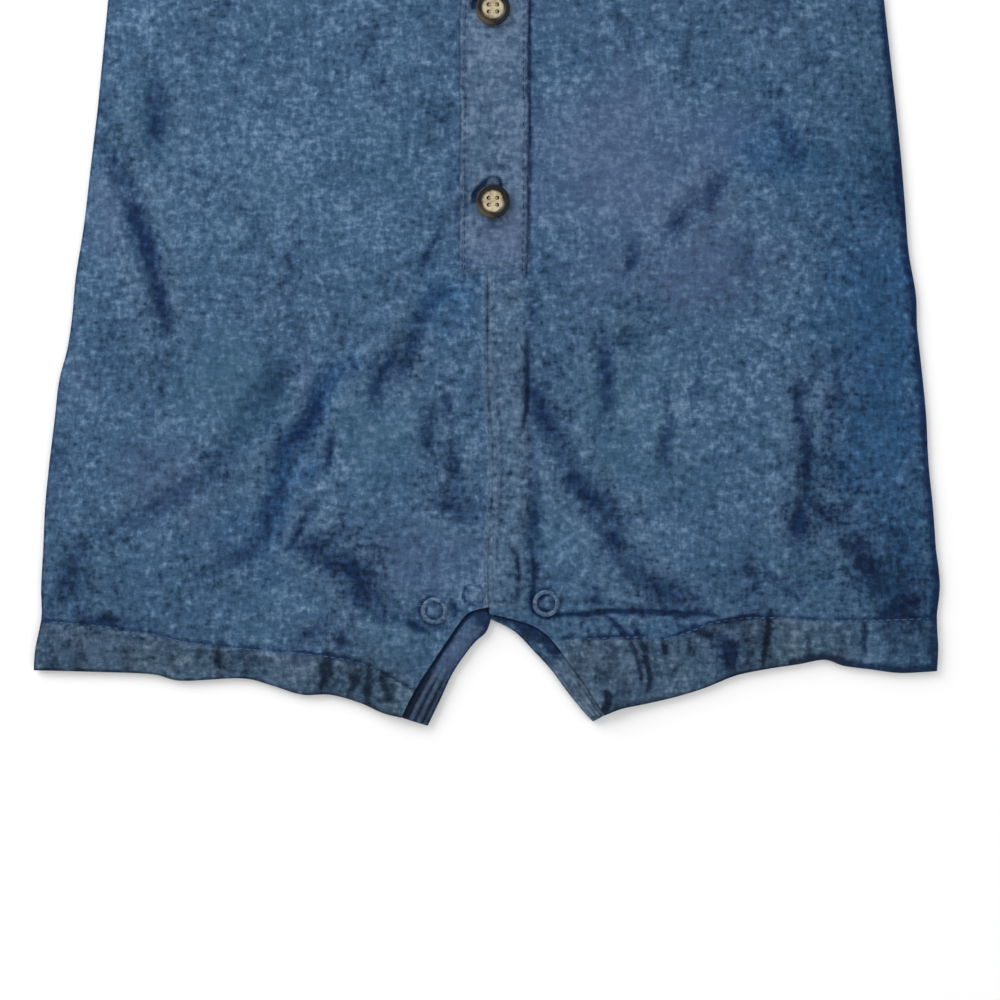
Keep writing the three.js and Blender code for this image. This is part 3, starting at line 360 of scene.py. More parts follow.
def srgb(code):
    """A hex colour such as #48647F as linear red, green, blue and alpha."""
    values = [int(code[i:i + 2], 16) / 255 for i in (1, 3, 5)]
    linear = [v / 12.92 if v <= 0.04045 else ((v + 0.055) / 1.055) ** 2.4 for v in values]
    return (*linear, 1.0)


def length_property(name, description, size):
    return FloatProperty(
        name=name, description=description, default=size * MM, unit="LENGTH", subtype="DISTANCE"
    )


def colour_property(name, description, code):
    return FloatVectorProperty(
        name=name, description=description, size=4, subtype="COLOR", min=0, max=1, default=srgb(code)
    )


class RomperSizes(bpy.types.PropertyGroup):
    """Sizes that a maker would change."""

    cloth: length_property("Cloth", "Thickness of the chambray as it lies", 0.7)
    stitch_pitch: length_property("Stitch pitch", "From one stitch to the next", 2.6)
    thread: length_property("Thread", "Width of the sewing thread as it lies", 0.5)
    step: length_property("Mesh step", "Distance between the points of a cloth mesh", 1.0)
    seed: IntProperty(name="Seed", description="Seed of the faint creases", default=7)


class RomperColours(bpy.types.PropertyGroup):
    """Colours that a maker would change."""

    deep: colour_property("Indigo flecks", "Darkest warp threads", "#142D46")
    cloth: colour_property("Chambray", "The cloth seen from a step away", "#3B5876")
    pale: colour_property("Slubs", "Whitest weft threads", "#718AA6")
    # painted shade: multiplies the cloth in creases, seams, grooves, along sewn edges and on the
    # shaded side
    painted_shade: colour_property("Creases", "Multiplies the cloth where most indigo is left", "#5C8AB0")
    # painted shade in the creases of the rubbed hems
    hem_painted_shade: colour_property("Creases in hems", "Multiplies rubbed cloth in creases", "#707B8E")
    # the paler colour of wash wear, also used for painted highlights on ridges, folds and rolled
    # edges
    worn_and_highlight: colour_property("Worn edges", "Where the wash took most indigo", "#70849A")
    grey: colour_property("Grey", "Multiplies the cloth where the hems are rubbed", "#FFEEDD")
    violet: colour_property("Violet cast", "Uneven dye, towards violet", "#475475")
    teal: colour_property("Teal cast", "Uneven dye, towards teal", "#2E566B")
    # clear blue: uneven dye, and painted shade in the deepest creases and along the shaded side
    blue: colour_property("Clear blue", "Multiplies the cloth where the dye is clearest", "#84D4F5")
    thread: colour_property("Thread", "Sewing thread", "#31465E")
    button_thread: colour_property("Button thread", "Thread in the buttons' holes", "#BFB69A")
    horn: colour_property("Horn", "Pale middle of a button", "#BFB294")
    horn_brown: colour_property("Brown horn", "Veins and thin edge of a button", "#77694F")
    horn_dark: colour_property("Dark horn", "Rim of a button", "#0C0A0A")
    enamel: colour_property("Enamel", "Paint on the snap rings", "#35526F")
    floor: colour_property("Floor", "Pale surface under the romper", "#F7F7F7")


# Curves and distances


def along(points, places):
    """Points of a bent line at the given shares of its length."""
    points = np.asarray(points, float)
    lengths = np.concatenate([[0], np.cumsum(np.linalg.norm(np.diff(points, axis=0), axis=1))])
    wanted = np.asarray(places) * lengths[-1]
    return np.stack([np.interp(wanted, lengths, points[:, i]) for i in (0, 1)], axis=1)


def smooth(points, fine=16):
    """A smooth line through the given points."""
    p = np.asarray(points, float)
    padded = np.vstack([p[:1], p, p[-1:]])
    t = np.linspace(0, 1, fine, endpoint=False)[:, None]
    spans = []
    for i in range(len(p) - 1):
        p0, p1, p2, p3 = padded[i:i + 4]
        v0, v1 = (p2 - p0) / 2, (p3 - p1) / 2
        cube = 2 * p1 - 2 * p2 + v0 + v1
        square = -3 * p1 + 3 * p2 - 2 * v0 - v1
        spans.append(cube * t**3 + square * t**2 + v0 * t + p1)
    return np.vstack([*spans, p[-1:]])


def bezier(a, b, c, d, fine=60):
    a, b, c, d = (np.asarray(v, float) for v in (a, b, c, d))
    t = np.linspace(0, 1, fine)[:, None]
    s = 1 - t
    return a * s**3 + 3 * b * s**2 * t + 3 * c * s * t**2 + d * t**3


def length_of(points):
    return np.linalg.norm(np.diff(np.asarray(points, float), axis=0), axis=1).sum()


def steps_for(points, step):
    """Even shares of a line's length, about one step apart."""
    return np.linspace(0, 1, max(2, round(length_of(points) / step)) + 1)


def nearest(way, x, y, reach=None):
    """How far each place is from a bent line, and how far along it is met, from 0 to 1."""
    way = np.asarray(way, float)
    away = np.full(x.shape, 1e6)
    share = np.zeros(x.shape)
    near = np.ones(x.shape, bool)
    if reach is not None:
        low, high = way.min(axis=0) - reach, way.max(axis=0) + reach
        near = (x > low[0]) & (x < high[0]) & (y > low[1]) & (y < high[1])
    px, py = x[near], y[near]
    best, met = away[near], share[near]
    lengths = np.linalg.norm(np.diff(way, axis=0), axis=1)
    starts = np.concatenate([[0], np.cumsum(lengths)])
    for i, size in enumerate(lengths):
        direction = (way[i + 1] - way[i]) / max(size, 1e-9)
        t = np.clip((px - way[i, 0]) * direction[0] + (py - way[i, 1]) * direction[1], 0, size)
        gap = np.hypot(px - way[i, 0] - t * direction[0], py - way[i, 1] - t * direction[1])
        closer = gap < best
        best[closer] = gap[closer]
        met[closer] = (starts[i] + t[closer]) / starts[-1]
    away[near], share[near] = best, met
    return away, share


def bell(values):
    return np.exp(-np.square(values))


def ease(low, high, values):
    """Rises smoothly from 0 at low to 1 at high."""
    t = np.clip((values - low) / (high - low), 0, 1)
    return t * t * (3 - 2 * t)


@functools.cache
def random_table(seed):
    return np.random.default_rng(seed).uniform(-1, 1, (64, 64))


def unevenness(x, y, size, seed):
    """Smooth random values from -1 to 1 whose patches are about size across."""
    table = random_table(seed)
    u, v = x / size + 31.7, y / size + 17.3
    i, j = np.floor(u).astype(int), np.floor(v).astype(int)
    fu, fv = ease(0, 1, u - i), ease(0, 1, v - j)
    i, j = i % 63, j % 63
    low = table[i, j] * (1 - fu) + table[i + 1, j] * fu
    high = table[i, j + 1] * (1 - fu) + table[i + 1, j + 1] * fu
    return low * (1 - fv) + high * fv


def armhole(side):
    at = lambda half_width, y: (AXIS_X + side * half_width, y)
    return bezier(
        at(CHEST / 2, UNDERARM_Y),
        at(CHEST / 2 - 23, UNDERARM_Y + 5),
        at(SHOULDERS / 2 - 7, UNDERARM_Y + 40),
        at(SHOULDERS / 2, SHOULDER_TIP_Y),
    )


def neckline(side, centre_x, centre_y):
    drop = NECK_SIDE_Y - centre_y
    half = NECK_WIDTH / 2
    return bezier(
        (centre_x, centre_y),
        (AXIS_X + side * half * 0.6, centre_y),
        (AXIS_X + side * half * 0.96, centre_y + drop * 0.3),
        (AXIS_X + side * half, NECK_SIDE_Y),
    )


def chest_side(half):
    top = half.body[-1]
    underarm = AXIS_X + half.side * CHEST / 2
    between = lambda share: top[0] + (underarm - top[0]) * share
    return smooth([top, (between(0.45), 204), (between(0.8), 234), (underarm, UNDERARM_Y)])


def shoulder(side):
    tip = (AXIS_X + side * SHOULDERS / 2, SHOULDER_TIP_Y)
    neck = (AXIS_X + side * NECK_WIDTH / 2, NECK_SIDE_Y)
    return np.array([tip, neck], float)


CENTRE_WAY = smooth(CENTRE_FRONT)


def centre_x(y):
    """Where the centre front seam lies at a height."""
    return np.interp(y, CENTRE_WAY[:, 1], CENTRE_WAY[:, 0])


SEWN = [
    way
    for half in HALVES
    for way in (
        smooth(half.leg, 4), smooth(half.body, 3), chest_side(half), armhole(half.side)[::4],
        shoulder(half.side), neckline(half.side, AXIS_X, FRONT_NECK_Y)[::4], smooth(half.hem, 3),
    )
]
INSEAMS = [smooth(half.inseam, 4) for half in HALVES]


def nearest_of(ways, x, y, reach):
    return np.min([nearest(way, x, y, reach)[0] for way in ways], axis=0)


# The front's form: its height, its wash and dye marks, and its painted shade and highlights


@functools.cache
def all_creases(seed):
    """The creases that are listed, then faint ones that are scattered."""
    random = np.random.default_rng(seed)
    made = list(CREASES)
    for _ in range(SMALL_CREASES):
        x, y = random.uniform(-132, 134), random.uniform(-14, 330)
        turn = random.normal(math.pi / 2, 0.55)
        reach = random.uniform(5, 15)
        bend = random.uniform(-3, 3)
        dx, dy = reach * math.cos(turn), reach * math.sin(turn)
        way = [(x - dx, y - dy), (x + bend, y), (x + dx, y + dy)]
        depth = random.uniform(0.15, 0.5)
        made.append(Crease(random.uniform(1.1, 2.8), depth, 0.75 * depth, way))
    return [row._replace(way=smooth(row.way, 4)) for row in made]


def hem_share(x, y):
    """1 in the turned hems, 0 above their stitching, and how far above or below that is."""
    line = np.where(
        x < AXIS_X,
        np.interp(x, *np.array(sorted(RIGHT.stitch)).T),
        np.interp(x, *np.array(sorted(LEFT.stitch)).T),
    )
    in_leg = ease(18, 26, np.abs(x - AXIS_X))
    return ease(-0.4, 0.9, line - y) * in_leg, y - line, in_leg


def needle_marks(y):
    """How deep a stitched line is drawn in, from one needle hole to the next."""
    return 0.55 + 0.45 * np.cos(2 * math.pi * y / STITCH_DIMPLES)


def front_form(x, y):
    """Height of the front's upper side in mm, with its wear and dye marks and its painted shade and
    highlights.
    """
    sizes = bpy.context.scene.romper_sizes
    from_sewn = nearest_of(SEWN, x, y, 45)
    from_inseam = nearest_of(INSEAMS, x, y, 45)
    free = 1 - bell(from_inseam / 8)
    along_placket = ease(PLACKET_LOW_Y, PLACKET_LOW_Y + 4, y)
    under_placket = ease(10.6, 7.6, np.abs(x - AXIS_X)) * along_placket
    placket_shadow = bell((x - AXIS_X - 0.5 * PLACKET_WIDTH - 0.3) / 0.7) * along_placket
    calm = 1 - bell(from_sewn / 5)
    rise = LOFT * (1 - bell(from_sewn / LOFT_REACH)) * free
    lapped = (BASE + 0.15) * bell(from_inseam / 11)

    warp = 0.8 * ease(6, 26, np.abs(x - AXIS_X)) + 0.15
    wx = x + warp * (unevenness(x, y, 9, 3) + 0.6 * unevenness(x, y, 4, 6))
    wy = y + warp * (unevenness(x, y, 9, 4) + 0.6 * unevenness(x, y, 4, 7))
    warped, straighter = (wx, wy), (0.75 * x + 0.25 * wx, 0.75 * y + 0.25 * wy)
    uneven = 1 + 0.35 * unevenness(x, y, 11, 5)
    patchy = np.clip(uneven + 0.35 * unevenness(x, y, 2.4, 8) + 0.25 * unevenness(x, y, 5, 9), 0, 1.6)
    fold, painted_shade, around, worn_and_highlight = (np.zeros(x.shape) for _ in range(4))
    for row in all_creases(sizes.seed):
        sharp = row.half < NARROW_CREASE
        away, met = nearest(row.way, *(straighter if sharp else warped), 4 * row.half + 2)
        taper = np.sin(math.pi * np.clip(0.06 + 0.88 * met, 0, 1)) ** 0.6
        trough = bell(away / row.half)
        ridge = bell((away - 2.2 * row.half) / row.half) * min(1, row.half / 2.5)
        fold += row.depth * taper * uneven * (0.3 * ridge - trough) * 0.65
        grain = uneven if sharp else patchy
        # painted shade in each crease's trough
        painted_shade = np.maximum(painted_shade, row.blue * taper * grain * bell(away / (1.2 * row.half)))
        around = np.maximum(around, row.blue * taper * bell(away / (2.6 * row.half + 1)))
        # wash wear and painted highlights on the ridges beside each crease
        worn_and_highlight += 0.5 * row.blue * taper * ridge

    hem, above, in_leg = hem_share(x, y)
    across = x + 0.3 * above
    ripples = unevenness(across, 0.35 * y, 3.4, 11) * 0.45
    ripples += unevenness(across, 0.5 * y, 7.5, 12) * 0.42
    ripples += unevenness(across, 0.3 * y, 1.9, 16) * 0.25
    near_stitching = 0.6 + 0.4 * bell(above / 5)
    # painted shade in the groove above each hem and in its puckers' troughs; wash wear and painted
    # highlights on the pucker ridges
    groove = bell((above - 0.5) / 0.75) * in_leg * (0.8 + 0.5 * unevenness(x, y, 4, 13))
    puckers = np.maximum(hem, 0.5 * bell(above / 3) * in_leg) * np.where(x < AXIS_X, 0.9, 0.5)
    fold += puckers * ripples * near_stitching * ease(0.2, 3, from_sewn) - 0.4 * groove
    painted_shade += groove + puckers * np.clip(-ripples, 0, 1) * 1.1
    worn_and_highlight += hem * np.clip(ripples, 0, 1) * 0.9 + 0.4 * bell((above + 1) / 0.7) * in_leg

    # lines of the seam and of the folded cloth beneath it, with painted shade in the seam and at its
    # needle holes, and painted highlights on the ridges beside it
    from_centre = x - centre_x(y)
    below_placket = ease(PLACKET_LOW_Y + 2, PLACKET_LOW_Y - 3, y) * ease(-1, 2, y)
    band = ease(-2.2, -1.4, from_centre) * ease(12.6, 11.4, from_centre) * below_placket
    needle = needle_marks(y)
    second_row = bell((from_centre - 3.0) / 0.5) * needle * ease(10, 22, y) * ease(100, 88, y)
    open_share = ease(76, 96, y) * 0.5 + ease(24, 8, y) * 0.35 + 0.35
    seam = bell(from_centre / 0.6) * open_share * (0.85 + 0.3 * unevenness(x, y, 5, 14))
    ridge_row = bell((from_centre + 1.2) / 0.7) + 0.8 * bell((from_centre - 1.5) / 0.7)
    fold += below_placket * (0.2 * ridge_row - 0.45 * seam - 0.3 * second_row) + 0.35 * band
    painted_shade += below_placket * (0.8 * seam + 0.8 * second_row)
    worn_and_highlight += below_placket * 0.6 * ridge_row + 0.4 * band
    rubbed = (0.85 + 0.25 * unevenness(x, y, 12, 17)) * (1 - 0.7 * ease(114, 128, x))
    rubbed *= 1 - 0.85 * bell(np.hypot((x - 78) / 7, (y + 12) / 8))
    rubbed_above = 0.7 * ease(15, 2, above) * bell((x + 33) / 16) * in_leg
    grey = np.clip(np.maximum(hem * rubbed, rubbed_above) + 0.3 * band, 0, 1)

    # cloth drawn in round the snaps, with painted shade in its grooves, stronger on their left, and a
    # paler top on each bump
    bumps = np.zeros(x.shape)
    for bulge in BULGES:
        off = np.hypot(x - bulge.x, y - bulge.y)
        bumps += bulge.height * bell((off / bulge.radius) ** 2)
        for radius, share in bulge.grooves:
            facing = 0.8 - 0.35 * (x - bulge.x) / np.maximum(off, 0.5)
            groove = share * facing * bell((off - radius) / 0.55)
            groove = groove * (1 + 0.5 * unevenness(x, y, 3, 15))
            painted_shade += groove
            bumps -= 0.4 * groove
        worn_and_highlight += 0.5 * bell(off / (0.8 * bulge.radius))

    crumple = 0.10 * unevenness(x, y, 3.2, 20) + 0.2 * unevenness(x, y, 6.5, 21)
    crumple += 0.3 * unevenness(x, y, 17, 22)
    smooth_share = (1 - under_placket) * calm
    extra = (fold * (0.35 + 0.65 * free) + crumple * free) * smooth_share
    height = LOWEST_TOP + lapped + rise + extra + bumps + HEM_RISE * hem
    edge = 0.75 * ease(1.6, 0.1, from_sewn)
    floor = LOWEST_TOP + 0.9 * lapped - edge
    height = np.logaddexp(6 * (height - edge), 6 * floor) / 6

    shaded_side = np.where(x > 100, ease(3.6, 1.2, from_sewn) * ease(290, 250, y), 0)
    turned_corner = bell(np.hypot((x - 35.4) / 2.4, (y + 30) / 3.4) ** 2)
    worn_and_highlight += 1.5 * turned_corner
    painted_shade -= 0.5 * turned_corner
    # painted shade along the sewn edges
    edge_shade = 0.8 * ease(1.2, 0.2, from_sewn)
    # painted shadow of the placket's free edge on the front
    painted_shade = np.maximum(painted_shade, 0.85 * placket_shadow * patchy)
    painted_shade = np.clip(painted_shade * (1 - under_placket) + np.maximum(shaded_side, edge_shade), 0, 1)
    tone, cast, blue = dye_and_shade_patches(x, y)
    # broad painted shade round each crease
    tone = tone - 0.3 * around * (1 - under_placket)
    shade_and_wear = np.stack([painted_shade, np.clip(worn_and_highlight, 0, 1), grey], axis=-1)
    dye_and_shade = np.stack([0.5 + 0.5 * tone, 0.5 + 0.5 * cast, blue], axis=-1)
    return height, shade_and_wear, np.clip(dye_and_shade, 0, 1)


def dye_and_shade_patches(x, y):
    """Tone, cast and clear blue of the dye and of broad painted shade and light, blotted at their
    edges.
    """
    wx = x + 5 * unevenness(x, y, 13, 91) + 2 * unevenness(x, y, 5, 92)
    wy = y + 5 * unevenness(x, y, 13, 93) + 2 * unevenness(x, y, 5, 94)
    tone, cast, blue = (np.zeros(x.shape) for _ in range(3))
    for patch in PATCHES:
        share = bell(np.hypot((wx - patch.x) / patch.wide, (wy - patch.y) / patch.high))
        tone += patch.tone * share
        cast += patch.cast * share
        blue += patch.blue * share
    return tone, cast, blue


def front_top(x, y):
    x, y = np.atleast_1d(np.asarray(x, float)), np.atleast_1d(np.asarray(y, float))
    return front_form(x, y)[0]


def on_front(x, y):
    """The front's height over a grid of points."""
    return front_top(x.ravel(), y.ravel()).reshape(x.shape)


def on_back(x, _):
    return np.full(x.shape, WALL)


# Meshes


def to_frame(points):
    """Garment millimetres as metres in the frame."""
    moved = np.asarray(points, float) - (AXIS_X, MIDDLE_Y, 0)
    return moved * MM


def points_of(mesh):
    points = np.empty(len(mesh.vertices) * 3)
    mesh.vertices.foreach_get("co", points)
    return points.reshape(-1, 3)


def deselect():
    if bpy.context.mode != "OBJECT":
        bpy.ops.object.mode_set(mode="OBJECT")
    bpy.ops.object.select_all(action="DESELECT")


def activate(piece):
    deselect()
    piece.select_set(True)
    bpy.context.view_layer.objects.active = piece


PLAIN_DYE = (0.5, 0.5, 0.0)


def mesh_object(name, points, faces, shade_and_wear=None, dye_and_shade=None):
    """An object from points in garment millimetres, with cloth marks and painted shade and highlights
    on its points.
    """
    mesh = bpy.data.meshes.new(name)
    mesh.from_pydata(to_frame(points).tolist(), [], np.asarray(faces).tolist())
    if shade_and_wear is not None:
        for layer, values in (("shade_and_wear", shade_and_wear), ("dye_and_shade", PLAIN_DYE if dye_and_shade is None else dye_and_shade)):
            colours = np.ones((len(mesh.vertices), 4), np.float32)
            colours[:, :3] = values
            attribute = mesh.color_attributes.new(layer, "FLOAT_COLOR", "POINT")
            attribute.data.foreach_set("color", colours.ravel())
    mesh.polygons.foreach_set("use_smooth", [True] * len(mesh.polygons))
    mesh.update()
    piece = bpy.data.objects.new(name, mesh)
    bpy.context.collection.objects.link(piece)
    return piece


def grid_faces(rows, columns, turned, closed=False):
    """Quads of a grid of points, row by row. A closed one joins its last column to its first."""
    last = columns if closed else columns - 1
    r, c = np.meshgrid(np.arange(rows - 1), np.arange(last), indexing="ij")
    here, beyond = r * columns, (r + 1) * columns
    after = (c + 1) % columns
    corners = [here + c, here + after, beyond + after, beyond + c]
    faces = np.stack([v.ravel() for v in corners], axis=1)
    return faces[:, ::-1] if turned else faces


def plan_area(plan):
    ring = np.vstack([plan[0], plan[1:, -1], plan[-1, -2::-1], plan[-2:0:-1, 0]])
    x, y = ring[:, 0], ring[:, 1]
    return 0.5 * np.sum(x * np.roll(y, -1) - y * np.roll(x, -1))


def cloth_from_grid(name, plan, height, shade_and_wear, dye_and_shade=None, thickness=None):
    """A closed cloth shell whose upper side lies on a grid of plan points."""
    rows, columns = plan.shape[:2]
    points = np.concatenate([plan, height[..., None]], axis=2).reshape(-1, 3)
    faces = grid_faces(rows, columns, turned=plan_area(plan) < 0)
    dye_and_shade = None if dye_and_shade is None else dye_and_shade.reshape(-1, 3)
    piece = mesh_object(name, points, faces, shade_and_wear.reshape(-1, 3), dye_and_shade)
    return thicken(piece, thickness or bpy.context.scene.romper_sizes.cloth)


def thicken(piece, thickness):
    activate(piece)
    wall = piece.modifiers.new("wall", "SOLIDIFY")
    wall.thickness = thickness
    wall.offset = -1
    bpy.ops.object.modifier_apply(modifier=wall.name)
    bpy.ops.object.shade_smooth_by_angle(angle=math.radians(55))
    return piece


def finish_piece(piece, material, slot, *nodes):
    piece.data.materials.clear()
    piece.data.materials.append(material)
    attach(piece, "root")
    if nodes:
        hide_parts(*nodes)
    return piece


def declare_cloth(plans, strip=False):
    """Works out the rectangle a panel is cut from, and its own area, and does nothing more with them.
    A strip is cut straight.
    """
    points = np.vstack([plan.reshape(-1, 2) for plan in plans])
    size = points.max(axis=0) - points.min(axis=0)
    if strip:
        widest = np.linalg.norm(np.diff(plans[0], axis=1), axis=2).sum(axis=1).max()
        size = (max(widest, NARROWEST_SHEET), length_of(plans[0][:, plans[0].shape[1] // 2]))
    area = float(sum(abs(plan_area(plan)) for plan in plans)) * MM * MM


# Materials


def add_node(tree, kind, values=None, links=None):
    """Adds a node, sets its properties and sockets by name or number, and links into it."""
    made = tree.nodes.new(kind)
    for key, value in (values or {}).items():
        if isinstance(key, str) and hasattr(made, key):
            setattr(made, key, value)
        else:
            made.inputs[key].default_value = value
    for key, socket in (links or {}).items():
        tree.links.new(socket, made.inputs[key])
    return made


MIX_A, MIX_B, MIX_RESULT = 6, 7, 2


def mixed(tree, factor, below, above, blend="MIX"):
    """Colour sockets or values, mixed by a factor socket or value."""
    values, links = {"data_type": "RGBA", "blend_type": blend}, {}
    for key, value in ((0, factor), (MIX_A, below), (MIX_B, above)):
        (links if isinstance(value, bpy.types.NodeSocket) else values)[key] = value
    return add_node(tree, "ShaderNodeMix", values, links).outputs[MIX_RESULT]


def ranged(tree, value, low, high, to_low=0.0, to_high=1.0):
    settings = {"From Min": low, "From Max": high, "To Min": to_low, "To Max": to_high}
    return add_node(tree, "ShaderNodeMapRange", settings, {"Value": value}).outputs["Result"]


def new_material(name):
    """A new material, its nodes, and the place on an object that its patterns follow."""
    material = bpy.data.materials.new(name)
    material.use_nodes = True
    tree = material.node_tree
    return material, tree, add_node(tree, "ShaderNodeTexCoord").outputs["Object"]


def shaded(material, colour, settings, bump=None):
    """Gives the shader its colour, its settings, and a bump of strength, mm and height."""
    tree = material.node_tree
    shader = tree.nodes["Principled BSDF"]
    tree.links.new(colour, shader.inputs["Base Color"])
    if bump:
        strength, deep, height = bump
        values = {"Strength": strength, "Distance": deep * MM}
        made = add_node(tree, "ShaderNodeBump", values, {"Height": height})
        tree.links.new(made.outputs[0], shader.inputs["Normal"])
    for name, value in settings.items():
        shader.inputs[name].default_value = value
    return material


def noise(tree, place, size, detail=2.0, roughness=0.5, stretch=(1, 1, 1)):
    """A noise pattern whose patches are about size mm across, stretched along each axis."""
    scale = [1 / (size * MM * s) for s in stretch]
    moved = add_node(tree, "ShaderNodeMapping", {"Scale": scale}, {"Vector": place})
    settings = {"Scale": 1.0, "Detail": detail, "Roughness": roughness}
    made = add_node(tree, "ShaderNodeTexNoise", settings, {"Vector": moved.outputs[0]})
    return made.outputs["Fac"]


def weighed(tree, first, share, second):
    """Two values added, the second by a share."""
    settings = {"operation": "MULTIPLY_ADD", 1: share}
    return add_node(tree, "ShaderNodeMath", settings, {0: second, 2: first}).outputs[0]


def chambray(name, flecks=1.0, darker=0.0):
    """Cotton chambray, indigo warp and white weft, garment washed.

    A plain weave of 0.35 mm threads is too fine to show here, so its slubs are drawn a
    millimetre or two wide and longer along the threads, which gives a heathered blue.
    """
    colours = bpy.context.scene.romper_colours
    material, tree, place = new_material(name)
    layers = [  # share, patch size in mm, detail, stretch
        (1.15, 1.50, 2, (1, 2.0, 1)),
        (1.00, 1.50, 2, (2.0, 1, 1)),
        (0.95, 2.60, 3, (1, 1, 1)),
        (0.40, 6.00, 2, (1, 1, 1)),
        (0.55, 17.0, 3, (1, 1, 1)),
    ]
    tone = noise(tree, place, *layers[0][1:3], 0.6, stretch=layers[0][3])
    for share, size, detail, stretch in layers[1:]:
        tone = weighed(tree, tone, share, noise(tree, place, size, detail, 0.6, stretch=stretch))
    dye_and_shade = add_node(tree, "ShaderNodeVertexColor", {"layer_name": "dye_and_shade"}).outputs["Color"]
    dyed = add_node(tree, "ShaderNodeSeparateColor", links={"Color": dye_and_shade}).outputs
    dye_share = 0.75
    tone = weighed(tree, tone, dye_share, dyed["Red"])
    middle = sum(share for share, *_ in layers) / 2 + dye_share / 2
    spread = 0.56 / flecks
    level = ranged(tree, tone, middle - spread, middle + spread)

    ramp = add_node(tree, "ShaderNodeValToRGB", links={"Fac": level})
    low, high = ramp.color_ramp.elements
    low.position, low.color = 0.0, colours.deep
    high.position, high.color = 1.0, colours.pale
    ramp.color_ramp.elements.new(0.5).color = colours.cloth
    cloth = ramp.outputs["Color"]

    drift = noise(tree, place, 28, 2, 0.5)
    cast = weighed(tree, dyed["Green"], 0.8, drift)
    cloth = mixed(tree, ranged(tree, cast, 0.95, 1.35, 0, 0.45), cloth, colours.violet)
    cloth = mixed(tree, ranged(tree, cast, 0.85, 0.45, 0, 0.45), cloth, colours.teal)
    # clear blue patches: uneven dye, and the deep blue of painted shade in creases and along the
    # shaded side
    clear = weighed(tree, dyed["Blue"], -0.3, level)
    cloth = mixed(tree, ranged(tree, clear, 0, 0.65, 0, 0.62), cloth, colours.blue, "MULTIPLY")

    # The cloth's marks on its points: painted shade, paler wash wear with painted highlights, and
    # rubbed grey.
    shade_and_wear = add_node(tree, "ShaderNodeVertexColor", {"layer_name": "shade_and_wear"}).outputs["Color"]
    parts = add_node(tree, "ShaderNodeSeparateColor", links={"Color": shade_and_wear}).outputs
    values = {"operation": "MULTIPLY"}
    # paler where worn, and painted highlights on ridges and edges
    rubbed = add_node(tree, "ShaderNodeMath", values, {0: parts["Green"], 1: level}).outputs[0]
    cloth = mixed(tree, parts["Blue"], cloth, colours.grey, "MULTIPLY")
    cloth = mixed(tree, ranged(tree, rubbed, 0, 0.7, 0, 0.42), cloth, colours.worn_and_highlight)
    # painted shade: the cloth multiplied darker in creases, seams, grooves and edges
    uneven = weighed(tree, parts["Red"], -0.35, level)
    shade = ranged(tree, uneven, -0.08, 0.80)
    shadow = mixed(tree, parts["Blue"], colours.painted_shade, colours.hem_painted_shade)
    cloth = mixed(tree, darker, cloth, colours.violet)
    cloth = mixed(tree, shade, cloth, shadow, "MULTIPLY")

    settings = {
        "Roughness": 0.9, "Specular IOR Level": 0.15, "Sheen Weight": 0.08, "Sheen Roughness": 0.5,
    }
    return shaded(material, cloth, settings, (0.35, 0.25, tone))


def sewing_thread(name, dark, light):
    """Spun polyester thread, matt; its twist shows as grain."""
    material, tree, place = new_material(name)
    strands = noise(tree, place, 0.5, 1)
    cloth = mixed(tree, ranged(tree, strands, 0.3, 0.7), dark, light)
    return shaded(material, cloth, {"Roughness": 0.75}, (0.4, 0.1, strands))


def horn():
    """Cast polyester horn, polished: a pale marbled middle in a dark rim, with a soft gloss."""
    colours = bpy.context.scene.romper_colours
    material, tree, place = new_material("polished polyester horn")
    marble = noise(tree, place, 2.2, 4, 0.6)
    rim, fade = (
        add_node(tree, "ShaderNodeAttribute", {"attribute_name": name}).outputs["Fac"]
        for name in ("rim", "fade")
    )
    edge = weighed(tree, rim, 0.22, marble)
    pale = mixed(tree, ranged(tree, marble, 0.38, 0.66, 0, 0.75), colours.horn, colours.horn_brown)
    dark = mixed(tree, ranged(tree, fade, 0, 1, 0, 0.7), colours.horn_dark, colours.horn_brown)
    colour = mixed(tree, ranged(tree, edge, 0.64, 0.78), pale, dark)
    return shaded(material, colour, {"Roughness": 0.36, "IOR": 1.54, "Specular IOR Level": 0.25})


def enamel():
    """Baked enamel on a pressed brass ring: satin blue, mottled and rubbed like the cloth."""
    colours = bpy.context.scene.romper_colours
    material, tree, place = new_material("baked enamel")
    rubs = noise(tree, place, 1.2, 3, 0.7)
    colour = mixed(tree, ranged(tree, rubs, 0.50, 0.68, 0, 0.7), colours.enamel, colours.worn_and_highlight)
    colour = mixed(tree, ranged(tree, rubs, 0.48, 0.36), colour, colours.deep)
    return shaded(material, colour, {"Roughness": 0.6, "Metallic": 0.15}, (0.5, 0.2, rubs))


def painted_board():
    """Matt white painted board, with the faintest unevenness of a roller."""
    colours = bpy.context.scene.romper_colours
    material, tree, place = new_material("matt white board")
    roller = noise(tree, place, 40, 2)
    colour = mixed(tree, ranged(tree, roller, 0.3, 0.7, 0, 0.15), colours.floor, srgb("#F1F1F1"))
    return shaded(material, colour, {"Roughness": 0.9, "Specular IOR Level": 0.1})


def material_of(name, make, *settings):
    return bpy.data.materials.get(name) or make(*settings)


def seam_thread():
    colours = bpy.context.scene.romper_colours
    name = "spun sewing thread"
    return material_of(name, sewing_thread, name, colours.cloth, colours.thread)


def button_thread():
    colours = bpy.context.scene.romper_colours
    name = "spun button thread"
    return material_of(name, sewing_thread, name, colours.horn, colours.button_thread)


def main_cloth():
    return material_of("washed chambray", chambray, "washed chambray")


def band_cloth():
    return material_of("chambray bands", chambray, "chambray bands", 0.85, 0.3)


def placket_cloth():
    return material_of("interfaced chambray", chambray, "interfaced chambray", 1.05, 0.14)


# Panels


